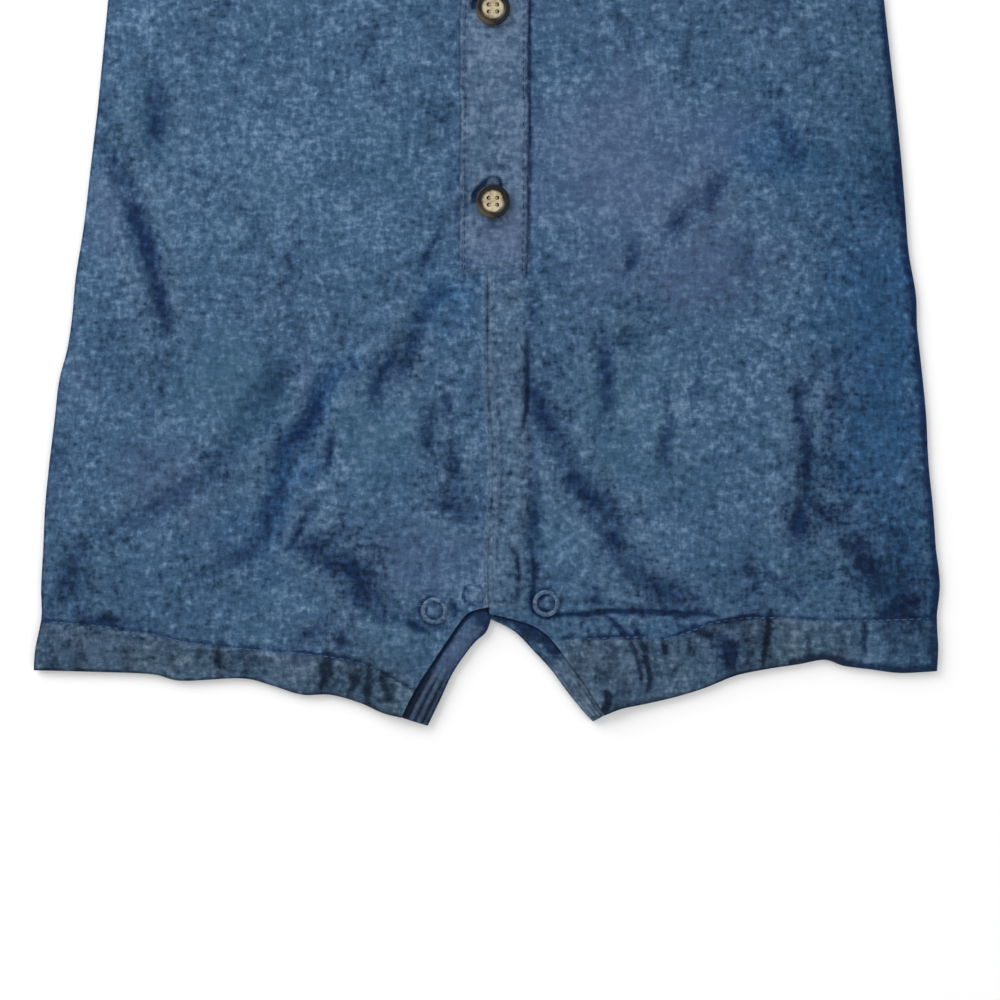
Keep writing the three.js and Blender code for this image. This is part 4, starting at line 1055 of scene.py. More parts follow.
def uneven_columns(width, step, zones):
    """Shares across a half panel, finer in zones that give from, to and step in mm."""
    places = [0.0]
    while places[-1] < width:
        here = places[-1]
        fine = [finer for low, high, finer in zones if low <= here < high]
        places.append(here + min([step, *fine]))
    return np.array([*places[:-1], width]) / width


def front_plan(half):
    """Grid of plan points of a front panel, from its side to its middle, hem first."""
    step = bpy.context.scene.romper_sizes.step / MM
    leg, body, inseam = smooth(half.leg), smooth(half.body), smooth(half.inseam)
    crotch_y, chest_y = half.inseam[-1][1], half.body[-1][1]
    seam_gap = half.side * SEAM_GAP / 2

    def seam(low, high, places):
        y = low + (high - low) * places
        return np.stack([centre_x(y) + seam_gap, y], axis=1)

    hole = armhole(half.side)
    neck_share = 0.72
    neck = neckline(half.side, centre_x(FRONT_NECK_Y) + seam_gap, FRONT_NECK_Y)
    parts = [
        (steps_for(inseam, LEG_STEP), leg, lambda t: along(inseam, t), 1),
        (steps_for(body, step), body, lambda t: seam(crotch_y, chest_y, t), 1),
        (np.linspace(0, 1, 52), chest_side(half), lambda t: seam(chest_y, UNDERARM_Y, t), 1),
        (np.linspace(0, 1, 28), hole, lambda t: seam(UNDERARM_Y, FRONT_NECK_Y, t), neck_share),
    ]
    sides = [along(way, t * share)[1 if i else 0:] for i, (t, way, _, share) in enumerate(parts)]
    mids = [mid(t)[1 if i else 0:] for i, (t, _, mid, _) in enumerate(parts)]
    high = np.linspace(0, 1, 22)[1:]
    sides.append(along(hole, neck_share + high * (1 - neck_share)))
    mids.append(along(neck, high))
    side, middle = np.vstack(sides), np.vstack(mids)

    shares = uneven_columns(HALF_WIDTH, step * 1.28, FINE_ZONES[half.name])
    plan = side[:, None] + (middle - side)[:, None] * shares[None, :, None]
    leg_places = parts[0][0]
    hem = along(smooth(half.hem), shares)
    straight = hem[0] + (hem[-1] - hem[0]) * shares[:, None]
    fade = (1 - leg_places) ** 2
    plan[:len(leg_places)] += fade[:, None, None] * (hem - straight)[None]
    return plan


def build_front(half):
    plan = front_plan(half)
    height, shade_and_wear, dye_and_shade = front_form(plan[..., 0], plan[..., 1])
    piece = cloth_from_grid(f"front_{half.name}_cloth", plan, height, shade_and_wear, dye_and_shade)
    finish_piece(piece, main_cloth(), "chambray", f"front_{half.name}")
    declare_cloth([plan])


def off_straight(edge, shares):
    """How far the points of an edge lie from the straight line between its ends."""
    return (edge - edge[0] - (edge[-1] - edge[0]) * shares[:, None])[None]


def back_plan(half):
    """Half of the back, as the front but plain, with its own inner leg edge and neckline."""
    hem_points = [(x, y + 1.2) for x, y in half.hem[:-1]] + [half.inner[0]]
    leg = smooth([hem_points[0], *half.leg[1:]])
    low = half.inner[-1]
    chest_y = half.body[-1][1]

    def centre(first, last, places):
        y = first + (last - first) * places
        x = low[0] + (AXIS_X - low[0]) * (y - low[1]) / (BACK_NECK_Y - low[1])
        return np.stack([x, y], axis=1)

    neck_rows = 24
    leg_places = np.linspace(0, 1, 24)
    body_places = np.linspace(0, 1, 60)[1:]
    chest_places = np.linspace(0, 1, 32)[1:]
    hole_places = np.linspace(0, 1, 44)[1:]
    side = np.vstack([
        along(leg, leg_places), along(smooth(half.body), body_places),
        along(chest_side(half), chest_places), along(armhole(half.side), hole_places),
    ])
    middle = np.vstack([
        along(smooth(half.inner), leg_places), centre(low[1], chest_y, body_places),
        centre(chest_y, UNDERARM_Y, chest_places), centre(UNDERARM_Y, BACK_NECK_Y, hole_places),
    ])
    shares = np.linspace(0, 1, 52)
    plan = side[:, None] + (middle - side)[:, None] * shares[None, :, None]
    hem = along(smooth(hem_points), shares)
    fade = (1 - leg_places) ** 2
    plan[:len(leg_places)] += fade[:, None, None] * off_straight(hem, shares)
    neck = neckline(half.side, AXIS_X, BACK_NECK_Y)[::-1]
    top = along(np.vstack([shoulder(half.side), neck[1:]]), shares)
    rise = hole_places[-neck_rows:] - hole_places[-neck_rows]
    fade = (rise / rise[-1]) ** 3
    plan[-neck_rows:] += fade[:, None, None] * off_straight(top, shares)
    return plan


def build_back():
    """One piece: two halves that are joined down the centre line, above the legs."""
    plans = [back_plan(half) for half in HALVES]
    points, shade_and_wear, faces = [], [], []
    for plan in plans:
        x, y = plan[..., 0], plan[..., 1]
        ripple = unevenness(x, y, 14, 31) + 0.6 * unevenness(x, y, 7, 32)
        height = WALL - 0.12 + 0.1 * ripple
        start = sum(len(part) for part in points)
        points.append(np.stack([x, y, height], axis=2).reshape(-1, 3))
        # painted shade in the ripples' troughs, painted highlights on their crests
        shade = [np.clip(-0.35 * ripple, 0, 1), np.clip(0.3 * ripple, 0, 1), 0 * x]
        shade_and_wear.append(np.stack(shade, axis=2).reshape(-1, 3))
        faces.append(start + grid_faces(*plan.shape[:2], turned=plan_area(plan) < 0))
    piece = mesh_object("back_cloth", np.vstack(points), np.vstack(faces), np.vstack(shade_and_wear))
    activate(piece)
    bpy.ops.object.mode_set(mode="EDIT")
    bpy.ops.mesh.select_all(action="SELECT")
    bpy.ops.mesh.remove_doubles(threshold=0.02 * MM)
    bpy.ops.object.mode_set(mode="OBJECT")
    thicken(piece, BACK_CLOTH * MM)
    finish_piece(piece, main_cloth(), "chambray", "back_panel")
    declare_cloth(plans)


def build_underlap(half):
    """The back's snap band, rolled over the inner leg edge and in under the front."""
    hidden = 3.6
    places = np.linspace(0, 1, 70)
    shares = np.linspace(0, 1, 28)
    edge = along(smooth(half.inner), places)
    lap = along(smooth(half.inseam), np.minimum(places, 0.97))
    inward = lap - edge
    visible = np.linalg.norm(inward, axis=1, keepdims=True)
    inward *= (visible + hidden) / visible
    plan = edge[:, None] + inward[:, None] * shares[None, :, None]
    share = np.minimum(1, shares[None] * (visible + hidden) / visible)
    roll = 1.35 * np.minimum(1, visible / 7) * np.sin(math.pi * share) ** 0.75
    x, y = plan[..., 0], plan[..., 1]
    low = ease(0.55, 0.22, places)[:, None]
    stripes = bell((share - 0.22) / 0.06) + 0.8 * bell((share - 0.50) / 0.06)
    stripes = stripes + bell((share - 0.78) / 0.05)
    ripple = 0.18 * unevenness(x, y, 4.5, 41)
    height = BASE + 0.75 + roll + ripple * (share < 1) - 0.7 * low * stripes * np.minimum(1, roll)
    height = np.minimum(height, BASE + WALL + 1.5)
    upper = places[:, None]
    if half.side < 0:
        shadow = 1.5 * ease(0.76, 0.93, share) + ease(0.80, 0.95, upper)
        shadow = shadow + 0.7 * ease(0.16, 0.0, share)
        shadow += 0.22 + 0.2 * unevenness(x, y, 6, 42)
        # painted highlight along the roll's crown
        light = bell((share - 0.42) / 0.2) * 0.35
    else:
        shadow = 0.9 * ease(0.38, 0.52, upper) * (0.35 + 0.65 * ease(0.15, 0.8, share))
        shadow += 0.35 * unevenness(x, y, 5, 42) + 0.5 * ease(0.12, 0.0, share)
        shadow += 0.35 * ease(0.6, 0.75, upper)
        light = (0.8 * ease(0.55, 0.4, upper) + 0.6 * ease(0.2, 0.08, upper)) * np.ones(share.shape)
        stripes = 0.2 * stripes
    # painted shade: shadows along the band's edges, at its upper end and under the front, and in the
    # grooves between its layers near the hem
    painted_shade = np.clip(shadow + 1.2 * low * stripes, 0, 1)
    grey = 0.3 + 0.7 * low * np.ones(share.shape)
    shade_and_wear = np.stack([painted_shade, np.clip(light, 0, 1), grey], axis=2)
    piece = cloth_from_grid(f"underlap_{half.name}_cloth", plan, height, shade_and_wear)
    cloth = band_cloth() if half.side < 0 else main_cloth()
    finish_piece(piece, cloth, "chambray", f"underlap_{half.name}")
    declare_cloth([plan], strip=True)


# Sleeves

SleeveFold = namedtuple("SleeveFold", "share slant half depth")
SLEEVE_FOLDS = [
    SleeveFold(0.28, 0.12, 0.05, 0.8),
    SleeveFold(0.55, -0.1, 0.045, 1.0),
    SleeveFold(0.8, 0.07, 0.04, 0.7),
    SleeveFold(0.42, 0.2, 0.03, 0.5),
]


def sleeve_axes(side):
    out = np.array([side * math.cos(SLEEVE_DROP), -math.sin(SLEEVE_DROP)])
    down = np.array([-side * math.sin(SLEEVE_DROP), -math.cos(SLEEVE_DROP)])
    return out, down


def sleeve_place(half, share, t):
    """Plan point of a sleeve: share from its fold to its seam, t from armhole to cuff."""
    out, down = sleeve_axes(half.side)
    hole = armhole(half.side)
    root = along(hole, 1 - share)
    before, after = (np.clip(1 - share + way * 0.01, 0, 1) for way in (-1, 1))
    ahead = along(hole, after) - along(hole, before)
    ahead /= np.linalg.norm(ahead, axis=1, keepdims=True)
    root = root + np.stack([ahead[:, 1], -ahead[:, 0]], axis=1) * half.side * GAP
    cuff = hole[-1] + out * SLEEVE_TOP + down * (SLEEVE_CUFF * share)[:, None]
    return root + (cuff - root) * t[:, None]


def sleeve_top(share, t, side):
    """Height of a sleeve's upper side over its lower one, its creases and its hem."""
    crown = np.sin(math.pi * np.clip(share, 0, 1)) ** 0.45
    sunk = sum(
        fold.depth * bell((share - fold.share - fold.slant * (t - 0.5)) / fold.half)
        for fold in SLEEVE_FOLDS
    )
    ripple = 0.25 * unevenness(share * SLEEVE_CUFF, t * SLEEVE_TOP + 200 * side, 8, 51)
    hem = ease(1 - (SLEEVE_HEM + 0.5) / SLEEVE_TOP, 1 - (SLEEVE_HEM - 0.5) / SLEEVE_TOP, t)
    pull = bell((t - 1 + SLEEVE_HEM / SLEEVE_TOP) / 0.012)
    loft = np.clip(2.0 - sunk + ripple, 0.1, 2.3) * crown
    # painted shade in the sleeve's folds and along its hem line
    painted_shade = np.clip(0.6 * sunk + 0.3 * pull, 0, 1)
    return loft + 0.35 * hem * crown - 0.3 * pull * crown, painted_shade, hem


def build_sleeve(half):
    """A flattened tube, folded along its top and sewn below, hemmed at the cuff."""
    rows, side_points = 72, 60
    share_over = np.linspace(0, 1, side_points)
    t_rows = np.linspace(0, 1, rows)
    share = np.concatenate([share_over, share_over[-2:0:-1]])
    upper = np.concatenate([np.ones(side_points, bool), np.zeros(side_points - 2, bool)])
    rows_of_plan = [sleeve_place(half, share_over, np.full(side_points, t)) for t in t_rows]
    flattened = np.stack(rows_of_plan)
    points, shade_and_wear = [], []
    for t in t_rows:
        spread = np.full(share.shape, t)
        plan = sleeve_place(half, share, spread)
        loft, painted_shade, hem = sleeve_top(share, spread, half.side)
        edge = np.minimum(1, np.sin(math.pi * np.clip(share, 0, 1)) * 9)
        z_over = BASE + WALL * 0.9 * edge + loft
        z_under = 0.75 * (1 - edge)
        height = np.where(upper, z_over, z_under)
        points.append(np.column_stack([plan, height]))
        shade_and_wear.append(np.column_stack([painted_shade * upper, 0.3 * hem, 0.75 * hem]))
    points, shade_and_wear = np.vstack(points), np.vstack(shade_and_wear)
    faces = grid_faces(rows, len(share), turned=half.side < 0, closed=True)
    piece = mesh_object(f"sleeve_{half.name}_cloth", points, faces, shade_and_wear)
    thicken(piece, bpy.context.scene.romper_sizes.cloth)
    finish_piece(piece, main_cloth(), "chambray", f"sleeve_{half.name}")
    length, depth = (float(np.ptp(flattened @ axis)) * MM for axis in sleeve_axes(half.side))


# Placket and bindings


def strip_shade_and_wear(height, painted_shade, worn_and_highlight, grey):
    shape = np.ones(height.shape)
    return np.stack([np.clip(part, 0, 1) * shape for part in (painted_shade, worn_and_highlight, grey)], axis=2)


def build_placket():
    """The folded strip that the buttons close, with its two stitched edges."""
    places = np.linspace(0, 1, 300)
    across = np.linspace(0, 1, 45)
    lean = -0.5 * (1 - places) ** 3
    y = PLACKET_LOW_Y + (FRONT_NECK_Y - PLACKET_LOW_Y) * places[:, None] + 0 * across[None]
    x = AXIS_X + PLACKET_WIDTH * (across[None] - 0.5) + lean[:, None]
    x = x + 0.35 * unevenness(0 * y, y, 14, 61) + 0.15 * unevenness(0 * y, y, 5, 64)
    plan = np.stack([x, y], axis=2)
    from_edge = PLACKET_WIDTH * np.minimum(across, 1 - across)[None] + 0 * y
    from_end = y - PLACKET_LOW_Y
    edge = ease(0.9, 0.0, from_edge) + ease(0.9, 0.0, from_end)
    sewn = bell((from_edge - 1.4) / 0.55)
    second = bell((from_edge - 2.6) / 0.5) * (across[None] < 0.5)
    wrinkles, loop = np.zeros(y.shape), np.zeros(y.shape)
    for name in BUTTONS:
        bx, by = button_place(name)
        for way, size in DRAWN_BY_BUTTON:
            drawn, _ = nearest(smooth([(bx + dx, by + dy) for dx, dy in way], 4), x, y, 4)
            loop = np.maximum(loop, size * bell(drawn / 0.8))
        for above, size in ((-5.6, 0.45), (-8.2, 0.25), (11.5, 0.25)):
            wrinkles += size * bell((y - by - above - 0.08 * (x - bx)) / 0.9) * bell((x - bx) / 6)
    needle = needle_marks(y)
    ripple = 0.14 * unevenness(x, y, 6, 62) + 0.2 * unevenness(0 * x, y, 12, 63)
    height = on_front(x, y) + BASE + ripple - wrinkles
    height -= PLACKET_END_SUNK * ease(8, 0, from_end)
    height -= 0.5 * np.clip(edge, 0, 1) + 0.2 * sewn * (0.6 + needle) + 0.12 * second + 0.35 * loop
    # painted shadow along the edges, darker at the free edge
    outer = ease(0.9, 0.1, from_edge) * (0.45 + 0.55 * (across[None] > 0.5)) * ease(-2, 3, from_end)
    # painted shade at the stitching, in the wrinkles and round the buttons, with random darker
    # mottling
    painted_shade = 1.2 * sewn * needle + 0.4 * second * needle + 0.9 * wrinkles + outer + loop
    painted_shade += 0.3 * np.clip(unevenness(x, y, 5, 65), 0, 1)
    # painted highlight along each folded edge, with random paler wear
    worn_and_highlight = 0.7 * bell((from_edge - 1.0) / 0.5) + 0.45 * np.clip(unevenness(x, y, 7, 66), 0, 1)
    worn_and_highlight += 0.35 * ease(0, 14, from_end)
    shade_and_wear = strip_shade_and_wear(height, painted_shade, worn_and_highlight, 0.4 * ease(0, 14, from_end))
    lean_violet = 0.5 + 0.3 * ease(150, 125, y) * ease(0, 8, from_end)
    lean_violet = lean_violet - 0.25 * bell((y - 158) / 12) * ease(4, -4, x)
    # darker round the buttons: painted shade
    tone = 0.52 + 0.13 * ease(0, 12, from_end) - 0.3 * np.clip(loop, 0, 1)
    dye_and_shade = np.stack([tone, lean_violet, 0 * x], axis=2)
    piece = cloth_from_grid("placket_cloth", plan, height, shade_and_wear, dye_and_shade)
    finish_piece(piece, placket_cloth(), "chambray", "placket")
    declare_cloth([plan])


def binding_plan(curve, start, end, count):
    places = np.linspace(start, end, count)
    middle = along(curve, places)
    ahead = along(curve, places + 0.004) - along(curve, places - 0.004)
    ahead /= np.linalg.norm(ahead, axis=1, keepdims=True)
    sign = np.where(ahead[:, :1] < 0, -1, 1)
    outward = np.concatenate([ahead[:, 1:], -ahead[:, :1]], axis=1) * sign
    off = np.linspace(0.1, BINDING_WIDTH + 0.1, 14)
    return middle[:, None] + outward[:, None] * off[None, :, None]


def build_binding(name, curve, start, end, count, bed):
    """A bias strip folded over the neck edge, plump between its fold and its stitching."""
    plan = binding_plan(curve, start, end, count)
    x, y = plan[..., 0], plan[..., 1]
    across = np.linspace(0, 1, plan.shape[1])[None]
    plump = 0.35 * np.sin(math.pi * across) ** 0.6
    pull = 0.12 * unevenness(x + y, x - y, 3, 71)
    sewn = bell((across - 0.8) / 0.09)
    height = bed(x, y) + BASE - 0.2 + plump + pull - 0.25 * sewn
    # painted shade at the stitching, paler along the fold
    shade_and_wear = strip_shade_and_wear(height, 0.5 * sewn, 0.4 * ease(0.2, 0, across), 0.4)
    piece = cloth_from_grid(f"{name}_cloth", plan, height, shade_and_wear)
    finish_piece(piece, placket_cloth(), "chambray", name)
    declare_cloth([plan], strip=True)


def front_neck(half):
    return neckline(half.side, AXIS_X, FRONT_NECK_Y)


def back_neck():
    right = neckline(-1, AXIS_X, BACK_NECK_Y)[::-1]
    return np.vstack([right, neckline(1, AXIS_X, BACK_NECK_Y)[1:]])


# Buttons, buttonholes and snaps


def middle_of(node):
    """A node's middle in garment millimetres, and its lowest and highest point."""
    low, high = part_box(node)
    x = (low[0] + high[0]) / 2 / MM + AXIS_X
    y = (low[1] + high[1]) / 2 / MM + MIDDLE_Y
    return x, y, low[2] / MM, high[2] / MM


def button_place(name):
    return middle_of(name)[:2]


def choose_faces(mesh, test):
    """Selects just the faces whose centre and normal pass a test, in edit mode."""
    bpy.ops.mesh.select_all(action="DESELECT")
    bpy.ops.object.mode_set(mode="OBJECT")
    for face in mesh.polygons:
        face.select = test(face.center, face.normal)
    bpy.ops.object.mode_set(mode="EDIT")


def keep_place(piece, x, y, z):
    """Puts a piece that was modelled at the origin in its place, in its own mesh."""
    points = points_of(piece.data) + to_frame([(x, y, z)])[0]
    piece.data.vertices.foreach_set("co", points.ravel())
    piece.data.update()


def button_model(radius, thickness):
    """A turned button: rounded rim, sunk middle, four holes."""
    deselect()
    bpy.ops.mesh.primitive_cylinder_add(
        vertices=64, radius=radius * MM, depth=thickness * MM, location=(0, 0, thickness / 2 * MM)
    )
    piece = bpy.context.object
    bpy.ops.object.transform_apply(location=True, rotation=False, scale=False)
    bpy.ops.object.mode_set(mode="EDIT")
    bpy.ops.mesh.select_mode(type="FACE")
    choose_faces(piece.data, lambda centre, normal: normal.z > 0.9)
    for width, rise in BUTTON_FACE:
        bpy.ops.mesh.inset(thickness=width * MM, depth=rise * MM)
    choose_faces(piece.data, lambda centre, normal: normal.z < -0.9)
    width, rise = BUTTON_UNDERSIDE
    bpy.ops.mesh.inset(thickness=width * MM, depth=rise * MM)
    bpy.ops.object.mode_set(mode="OBJECT")
    soften = piece.modifiers.new("soften", "BEVEL")
    soften.width = 0.5 * MM
    soften.segments = 3
    soften.angle_limit = math.radians(40)
    bpy.ops.object.modifier_apply(modifier=soften.name)
    for sx in (-1, 1):
        for sy in (-1, 1):
            drill(piece, sx * HOLE_X, sy * HOLE_Y, HOLE_RADIUS, thickness)
    bpy.ops.object.shade_smooth_by_angle(angle=math.radians(40))
    x, y = points_of(piece.data)[:, :2].T
    rim = np.hypot(x, y) / (radius * MM)
    lower_side = np.clip(-(0.65 * x + 0.75 * y) / (radius * MM) - 0.55, 0, 1) * 1.6
    for name, values in (("rim", rim - 0.12 * lower_side), ("fade", lower_side)):
        attribute = piece.data.attributes.new(name, "FLOAT", "POINT")
        attribute.data.foreach_set("value", values.astype(np.float32))
    return piece


def drill(piece, x, y, radius, depth):
    """Cuts one round hole through a piece."""
    deselect()
    bpy.ops.mesh.primitive_cylinder_add(
        vertices=16, radius=radius * MM, depth=4 * depth * MM, location=(x * MM, y * MM, 0)
    )
    drill_bit = bpy.context.object
    activate(piece)
    cut = piece.modifiers.new("hole", "BOOLEAN")
    cut.operation = "DIFFERENCE"
    cut.object = drill_bit
    bpy.ops.object.modifier_apply(modifier=cut.name)
    bpy.data.objects.remove(drill_bit)


def copy_of(piece, name):
    made = piece.copy()
    made.data = piece.data.copy()
    made.name = name
    bpy.context.collection.objects.link(made)
    return made


def snap_model(outer, inner, height):
    """A pressed ring with a rounded crown, spun from its section."""
    deselect()
    tube = (outer - inner) / 2
    bpy.ops.mesh.primitive_torus_add(
        major_radius=(outer + inner) / 2 * MM, minor_radius=tube * MM,
        major_segments=56, minor_segments=16,
    )
    piece = bpy.context.object
    flatten = height / (2 * tube)
    bpy.ops.object.mode_set(mode="EDIT")
    bpy.ops.mesh.select_all(action="SELECT")
    bpy.ops.transform.resize(value=(1, 1, flatten))
    bpy.ops.transform.translate(value=(0, 0, height / 2 * MM))
    bpy.ops.object.mode_set(mode="OBJECT")
    for face in piece.data.polygons:
        face.use_smooth = True
    return piece


# Sewing


def joined_copies(name, base, places):
    """One mesh of many copies of a small mesh. Each place is x, y, z in mm, turn and tilt."""
    points = points_of(base) / MM
    faces = [list(face.vertices) for face in base.polygons]
    all_points = []
    for x, y, z, turn, tilt in places:
        ct, st = math.cos(tilt), math.sin(tilt)
        along_x = points[:, 0] * ct - points[:, 2] * st
        up = points[:, 0] * st + points[:, 2] * ct
        c, s = math.cos(turn), math.sin(turn)
        moved = [along_x * c - points[:, 1] * s + x, along_x * s + points[:, 1] * c + y, up + z]
        all_points.append(np.stack(moved, axis=1))
    count = len(points)
    all_faces = [[v + i * count for v in face] for i in range(len(places)) for face in faces]
    mesh = bpy.data.meshes.new(name)
    mesh.from_pydata(to_frame(np.vstack(all_points)).tolist(), [], all_faces)
    mesh.polygons.foreach_set("use_smooth", [True] * len(mesh.polygons))
    piece = bpy.data.objects.new(name, mesh)
    bpy.context.collection.objects.link(piece)
    return piece


def stitch_model():
    """One stitch: a plump grain of thread, lying along X."""
    sizes = bpy.context.scene.romper_sizes
    deselect()
    bpy.ops.mesh.primitive_uv_sphere_add(
        segments=8, ring_count=6, radius=0.5, rotation=(0, math.pi / 2, 0)
    )
    piece = bpy.context.object
    bpy.ops.object.transform_apply(location=False, rotation=True, scale=False)
    bpy.ops.object.mode_set(mode="EDIT")
    bpy.ops.mesh.select_all(action="SELECT")
    size = (0.84 * sizes.stitch_pitch, sizes.thread, 0.75 * sizes.thread)
    bpy.ops.transform.resize(value=size)
    bpy.ops.object.mode_set(mode="OBJECT")
    return piece


def stitch_places(way, height_at, start=0.0, end=1.0):
    """Places of a row of stitches that lies on a surface."""
    pitch = bpy.context.scene.romper_sizes.stitch_pitch / MM
    way = np.asarray(way, float)
    count = max(2, round(length_of(way) * (end - start) / pitch))
    ends = np.linspace(start, end, count + 1)
    first, last = along(way, ends[:-1]), along(way, ends[1:])
    middle = (first + last) / 2
    z = [height_at(p[:, 0], p[:, 1]) for p in (first, middle, last)]
    step = last - first
    turn = np.arctan2(step[:, 1], step[:, 0])
    tilt = np.arctan2(z[2] - z[0], np.linalg.norm(step, axis=1))
    wobble = 0.08 * unevenness(middle[:, 0] * 7, middle[:, 1] * 7, 3, 81)
    sunk = STITCH_SUNK + 0.06 * unevenness(middle[:, 0] * 5, middle[:, 1] * 5, 3, 82)
    height = np.maximum.reduce(z) * 0.35 + z[1] * 0.65 - sunk
    return list(zip(middle[:, 0], middle[:, 1], height, turn + wobble, tilt))


def shifted(way, off):
    """A line moved sideways, to its left for a positive distance."""
    way = np.asarray(way, float)
    ahead = np.gradient(way, axis=0)
    ahead /= np.linalg.norm(ahead, axis=1, keepdims=True)
    return way + off * np.stack([-ahead[:, 1], ahead[:, 0]], axis=1)


def sew(name, base, rows):
    places = [place for row in rows for place in row]
    piece = joined_copies(name, base.data, places)
    finish_piece(piece, seam_thread(), "chambray")


def placket_top(x, y):
    """Height of the placket's stitched lines."""
    return front_top(x, y) + BASE - 0.1


def front_rows():
    """Twin rows down the centre front, and a row along each hem."""
    low, high = CENTRE_FRONT[0][1] + 1.5, PLACKET_LOW_Y - 1
    y = np.linspace(high, low, 60)
    seam = np.stack([centre_x(y), y], axis=1)
    rows = [stitch_places(seam + (off, 0), front_top) for off in (-1.2, 1.5)]
    for half in HALVES:
        stitched = smooth(half.stitch)
        across = np.abs(stitched[:, 0])
        hem_row = stitched[(across < HEM_ROW_TO) & (across > HEM_ROW_FROM)]
        rows.append(stitch_places(hem_row, front_top))
    return rows


def upper_rows():
    """Rows beside the armholes and shoulders."""
    rows = []
    for half in HALVES:
        hole = armhole(half.side)
        rows.append(stitch_places(shifted(hole, half.side * 3.0)[3:-6], front_top))
        seam = along(shoulder(half.side), np.linspace(0, 1, 20))
        rows.append(stitch_places(seam + (0, -3.0), front_top, 0.04, 0.84))
    return rows


def placket_rows():
    left_x, right_x = AXIS_X - PLACKET_WIDTH / 2, AXIS_X + PLACKET_WIDTH / 2
    low, high = PLACKET_LOW_Y + 1.5, FRONT_NECK_Y - 1
    lean = 0.3
    uprights = [
        [(left_x + 1.1 - lean, low), (left_x + 1.1, low + 60), (left_x + 1.1, high)],
        [(right_x - 1.4 - lean, low), (right_x - 1.4, low + 60), (right_x - 1.4, high)],
    ]
    foot = [(left_x + 1.1 - lean, low), (right_x - 1.4 - lean, low + 2.2)]
    return [stitch_places(way, placket_top) for way in (*uprights, foot)]


def sleeve_rows():
    rows = []
    for half in HALVES:
        share = np.linspace(0.03, 0.97, 50)
        t = np.full(50, 1 - SLEEVE_HEM / SLEEVE_TOP)
        way = sleeve_place(half, share, t)

        def height_at(x, y, way=way, share=share, t=t, half=half):
            met = nearest_share(way, x, y, share)
            loft = sleeve_top(met, np.full(met.shape, t[0]), half.side)[0]
            return BASE + WALL * 0.9 + loft

        rows.append(stitch_places(way, height_at))
    return rows


def nearest_share(way, x, y, share):
    met = nearest(way, x, y)[1]
    return share[0] + (share[-1] - share[0]) * met


def binding_rows():
    rows = []
    for half in HALVES:
        plan = binding_plan(front_neck(half), 0.22, 0.97, 60)
        rows.append(stitch_places(plan[:, 11], placket_top))
    plan = binding_plan(back_neck(), 0.09, 0.91, 60)
    rows.append(stitch_places(plan[:, 11], lambda x, y: on_back(x, y) + BASE - 0.1))
    return rows


def buttonhole_places(name):
    """Satin stitches side by side round a buttonhole."""
    x, y = button_place(name)
    low, high = y - BUTTONHOLE_BELOW, y + BUTTONHOLE_ABOVE
    places = [
        (x + side * BUTTONHOLE_HALF, level, 0.12 * side)
        for level in np.arange(low, high, SATIN_STEP) for side in (-1, 1)
    ]
    for end, start in ((high, 0), (low, math.pi)):
        for turn in np.linspace(start, start + math.pi, 9):
            dx, dy = BUTTONHOLE_HALF * math.cos(turn), BUTTONHOLE_HALF * math.sin(turn)
            places.append((x + dx, end + dy, turn))
    px, py, turns = np.array(places).T
    heights = placket_top(px, py) + 0.12
    return list(zip(px, py, heights, turns, 0 * turns))


def thread_places(x, y, top):
    """Two bars of thread on a button, with their ends down in its holes."""
    places = []
    bar_under, end_under = 0.84, 1.6
    bar_tilt, end_tilt = 0.3, 1.3
    for dy in (-HOLE_Y, HOLE_Y):
        for way in (-1, 1):
            places.append((x + 0.3 * way, y + dy, top - bar_under, 0, -bar_tilt * way))
            for aside in (0.22, -0.22):
                end = (x + HOLE_X * way, y + dy + aside)
                places.append((*end, top - end_under, 0, -end_tilt * way))
    return places


# Operators


class RomperStep(bpy.types.Operator):
    bl_options = {"REGISTER", "UNDO"}


class ROMPER_OT_back(RomperStep):
    """Lay the back panel on the surface"""

    bl_idname = "romper.back"
    bl_label = "Back"

    def execute(self, context):
        build_back()
        return {"FINISHED"}


class ROMPER_OT_underlaps(RomperStep):
    """Roll the back's snap bands over the inner leg edges"""

    bl_idname = "romper.underlaps"
    bl_label = "Underlaps"

    def execute(self, context):
        for half in HALVES:
            build_underlap(half)
        return {"FINISHED"}


class ROMPER_OT_fronts(RomperStep):
    """Lay the two front panels with their creases and hems"""

    bl_idname = "romper.fronts"
    bl_label = "Fronts"

    def execute(self, context):
        for half in HALVES:
            build_front(half)
        return {"FINISHED"}


class ROMPER_OT_sleeves(RomperStep):
    """Lay the two short sleeves"""

    bl_idname = "romper.sleeves"
    bl_label = "Sleeves"

    def execute(self, context):
        for half in HALVES:
            build_sleeve(half)
        return {"FINISHED"}


class ROMPER_OT_placket(RomperStep):
    """Lay the button placket down the centre front"""

    bl_idname = "romper.placket"
    bl_label = "Placket"

    def execute(self, context):
        build_placket()
        return {"FINISHED"}


class ROMPER_OT_bindings(RomperStep):
    """Bind the neck edge, in front and behind"""

    bl_idname = "romper.bindings"
    bl_label = "Neck bindings"

    def execute(self, context):
        for half in HALVES:
            build_binding(
                f"neck_binding_front_{half.name}", front_neck(half),
                start=0.185, end=0.985, count=70, bed=on_front,
            )
        build_binding(
            "neck_binding_back", back_neck(),
            start=0.08, end=0.92, count=90, bed=on_back,
        )
        return {"FINISHED"}


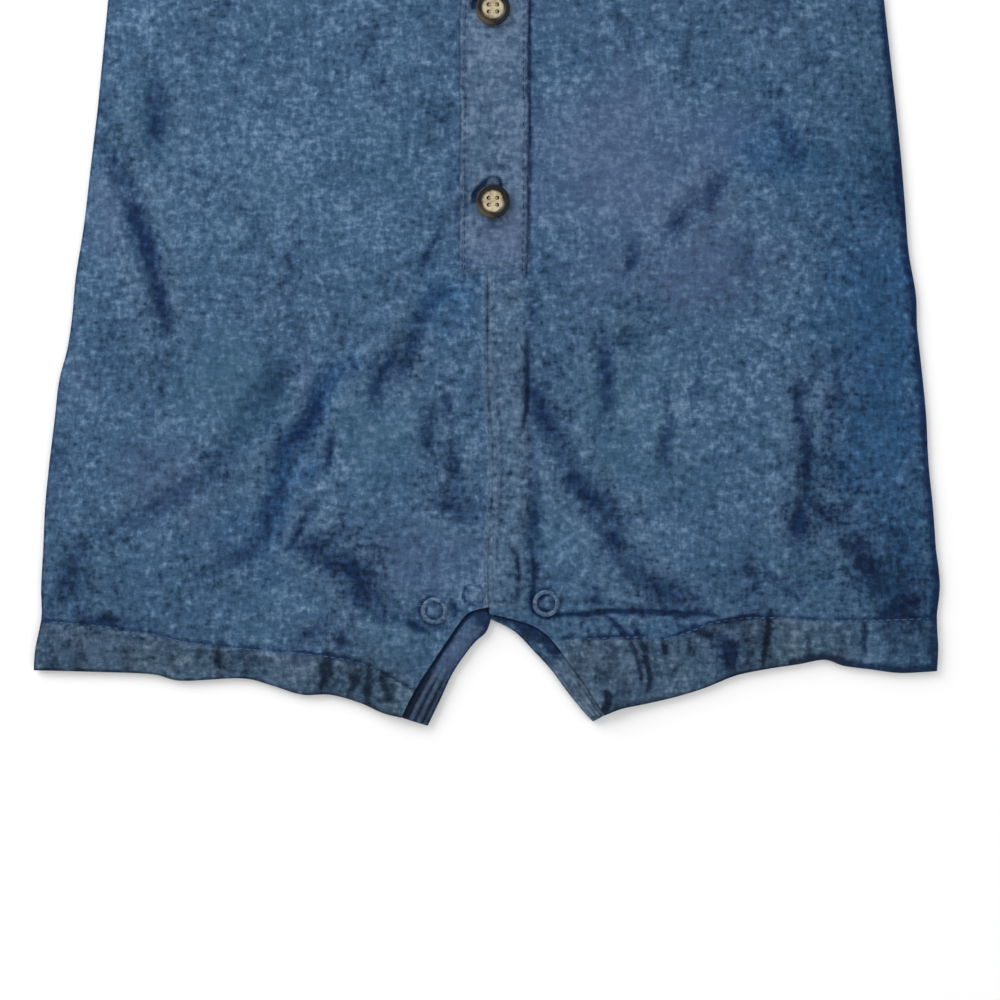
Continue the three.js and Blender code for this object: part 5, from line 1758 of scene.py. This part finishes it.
class ROMPER_OT_buttons(RomperStep):
    """Set the buttons and work their buttonholes"""

    bl_idname = "romper.buttons"
    bl_label = "Buttons"

    def execute(self, context):
        left, right = (corner[0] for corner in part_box(BUTTONS[0]))
        low, high = middle_of(BUTTONS[0])[2:]
        model = button_model((right - left) / 2 / MM, high - low)
        grain = stitch_model()
        holes, bars = [], []
        for name in BUTTONS:
            x, y, low, high = middle_of(name)
            bars += thread_places(x, y, high)
            piece = copy_of(model, f"{name}_horn")
            keep_place(piece, x, y, low - BUTTON_SUNK)
            finish_piece(piece, material_of("polished polyester horn", horn), "button", name)
            holes += buttonhole_places(name)
        piece = joined_copies("buttonholes", grain.data, holes)
        finish_piece(piece, seam_thread(), "chambray")
        piece = joined_copies("button_threads", grain.data, bars)
        finish_piece(piece, button_thread(), "button")
        bpy.data.objects.remove(model)
        bpy.data.objects.remove(grain)
        return {"FINISHED"}


class ROMPER_OT_snaps(RomperStep):
    """Set the open-ring snaps by the crotch"""

    bl_idname = "romper.snaps"
    bl_label = "Snaps"

    def execute(self, context):
        model = snap_model(SNAP_RADIUS, SNAP_BORE, SNAP_HEIGHT)
        for half in HALVES:
            node = f"snap_ring_{half.name}"
            x, y, low = middle_of(node)[:3]
            piece = copy_of(model, f"{node}_enamel")
            keep_place(piece, x, y, low - SNAP_SUNK)
            finish_piece(piece, material_of("baked enamel", enamel), "snap", node)
        bpy.data.objects.remove(model)
        return {"FINISHED"}


SEWING = (
    ("front", front_rows),
    ("upper", upper_rows),
    ("placket", placket_rows),
    ("sleeve", sleeve_rows),
    ("binding", binding_rows),
)


class ROMPER_OT_sewing(RomperStep):
    """Sew the seams, hems, placket, sleeves and bindings"""

    bl_idname = "romper.sewing"
    bl_label = "Sewing"

    def execute(self, context):
        base = stitch_model()
        for name, rows in SEWING:
            sew(f"{name}_stitching", base, rows())
        bpy.data.objects.remove(base)
        return {"FINISHED"}


PHOTO_MM = 1000 / 3  # width and height of what the camera sees
VIEW_MIDDLE = (10 / 3, 112 / 3)  # garment place in the middle of the view
LENS = 85
SENSOR = 36
FLOOR = 6  # side of the floor in metres
FLOOR_BELOW = 0.0003  # metres under the garment, so that the two never share a plane
SURROUND = 0.66  # strength of the even light from all round

Light = namedtuple("Light", "name place size power")
LIGHTS = (
    Light("key softbox", (-0.75, 0.62, 0.62), 1.0, 12.5),
    Light("fill softbox", (0.8, -0.5, 1.1), 1.2, 4.5),
)


class ROMPER_OT_stage(RomperStep):
    """Add the floor, the soft light and the camera straight above"""

    bl_idname = "romper.stage"
    bl_label = "Stage"

    def execute(self, context):
        deselect()
        bpy.ops.mesh.primitive_plane_add(size=FLOOR, location=(0, 0, -FLOOR_BELOW))
        floor = context.object
        floor.name = "floor"
        floor.data.materials.append(painted_board())

        world = bpy.data.worlds.new("studio")
        world.use_nodes = True
        sockets = world.node_tree.nodes["Background"].inputs
        sockets["Color"].default_value = (1, 1, 1, 1)
        sockets["Strength"].default_value = SURROUND
        context.scene.world = world
        for light in LIGHTS:
            add_light(*light)

        x, y = VIEW_MIDDLE
        target = to_frame([(x, y, 3)])[0]
        distance = PHOTO_MM * MM * LENS / SENSOR
        camera = bpy.data.cameras.new("camera")
        camera.lens = LENS
        camera.sensor_width = SENSOR
        camera.clip_start = 0.01
        holder = bpy.data.objects.new("camera", camera)
        holder.location = (target[0], target[1], target[2] + distance)
        context.collection.objects.link(holder)
        context.scene.camera = holder
        context.scene.view_settings.view_transform = "Standard"
        return {"FINISHED"}


def add_light(name, place, size, power):
    light = bpy.data.lights.new(name, "AREA")
    light.size = size
    light.energy = power
    holder = bpy.data.objects.new(name, light)
    holder.location = place
    direction = -np.array(place)
    holder.rotation_euler = (
        math.atan2(math.hypot(direction[0], direction[1]), -direction[2]),
        0,
        math.atan2(direction[1], direction[0]) - math.pi / 2,
    )
    bpy.context.collection.objects.link(holder)


OPERATORS = (
    ROMPER_OT_back,
    ROMPER_OT_underlaps,
    ROMPER_OT_fronts,
    ROMPER_OT_sleeves,
    ROMPER_OT_placket,
    ROMPER_OT_bindings,
    ROMPER_OT_buttons,
    ROMPER_OT_snaps,
    ROMPER_OT_sewing,
    ROMPER_OT_stage,
)


class ROMPER_PT_panel(bpy.types.Panel):
    """The romper's steps, sizes and colours"""

    bl_idname = "ROMPER_PT_panel"
    bl_label = "Romper"
    bl_space_type = "VIEW_3D"
    bl_region_type = "UI"
    bl_category = "Romper"

    def draw(self, context):
        for step in OPERATORS:
            self.layout.operator(step.bl_idname)
        for group in (context.scene.romper_sizes, context.scene.romper_colours):
            box = self.layout.box()
            for name in group.bl_rna.properties.keys():
                if name not in {"rna_type", "name"}:
                    box.prop(group, name)


CLASSES = (RomperSizes, RomperColours, *OPERATORS, ROMPER_PT_panel)


def register():
    for cls in CLASSES:
        bpy.utils.register_class(cls)
    bpy.types.Scene.romper_sizes = PointerProperty(type=RomperSizes)
    bpy.types.Scene.romper_colours = PointerProperty(type=RomperColours)


def unregister():
    del bpy.types.Scene.romper_colours
    del bpy.types.Scene.romper_sizes
    for cls in reversed(CLASSES):
        bpy.utils.unregister_class(cls)


def main():
    register()
    for step in OPERATORS:
        group, name = step.bl_idname.split(".")
        getattr(getattr(bpy.ops, group), name)()


if __name__ == "__main__":
    main()
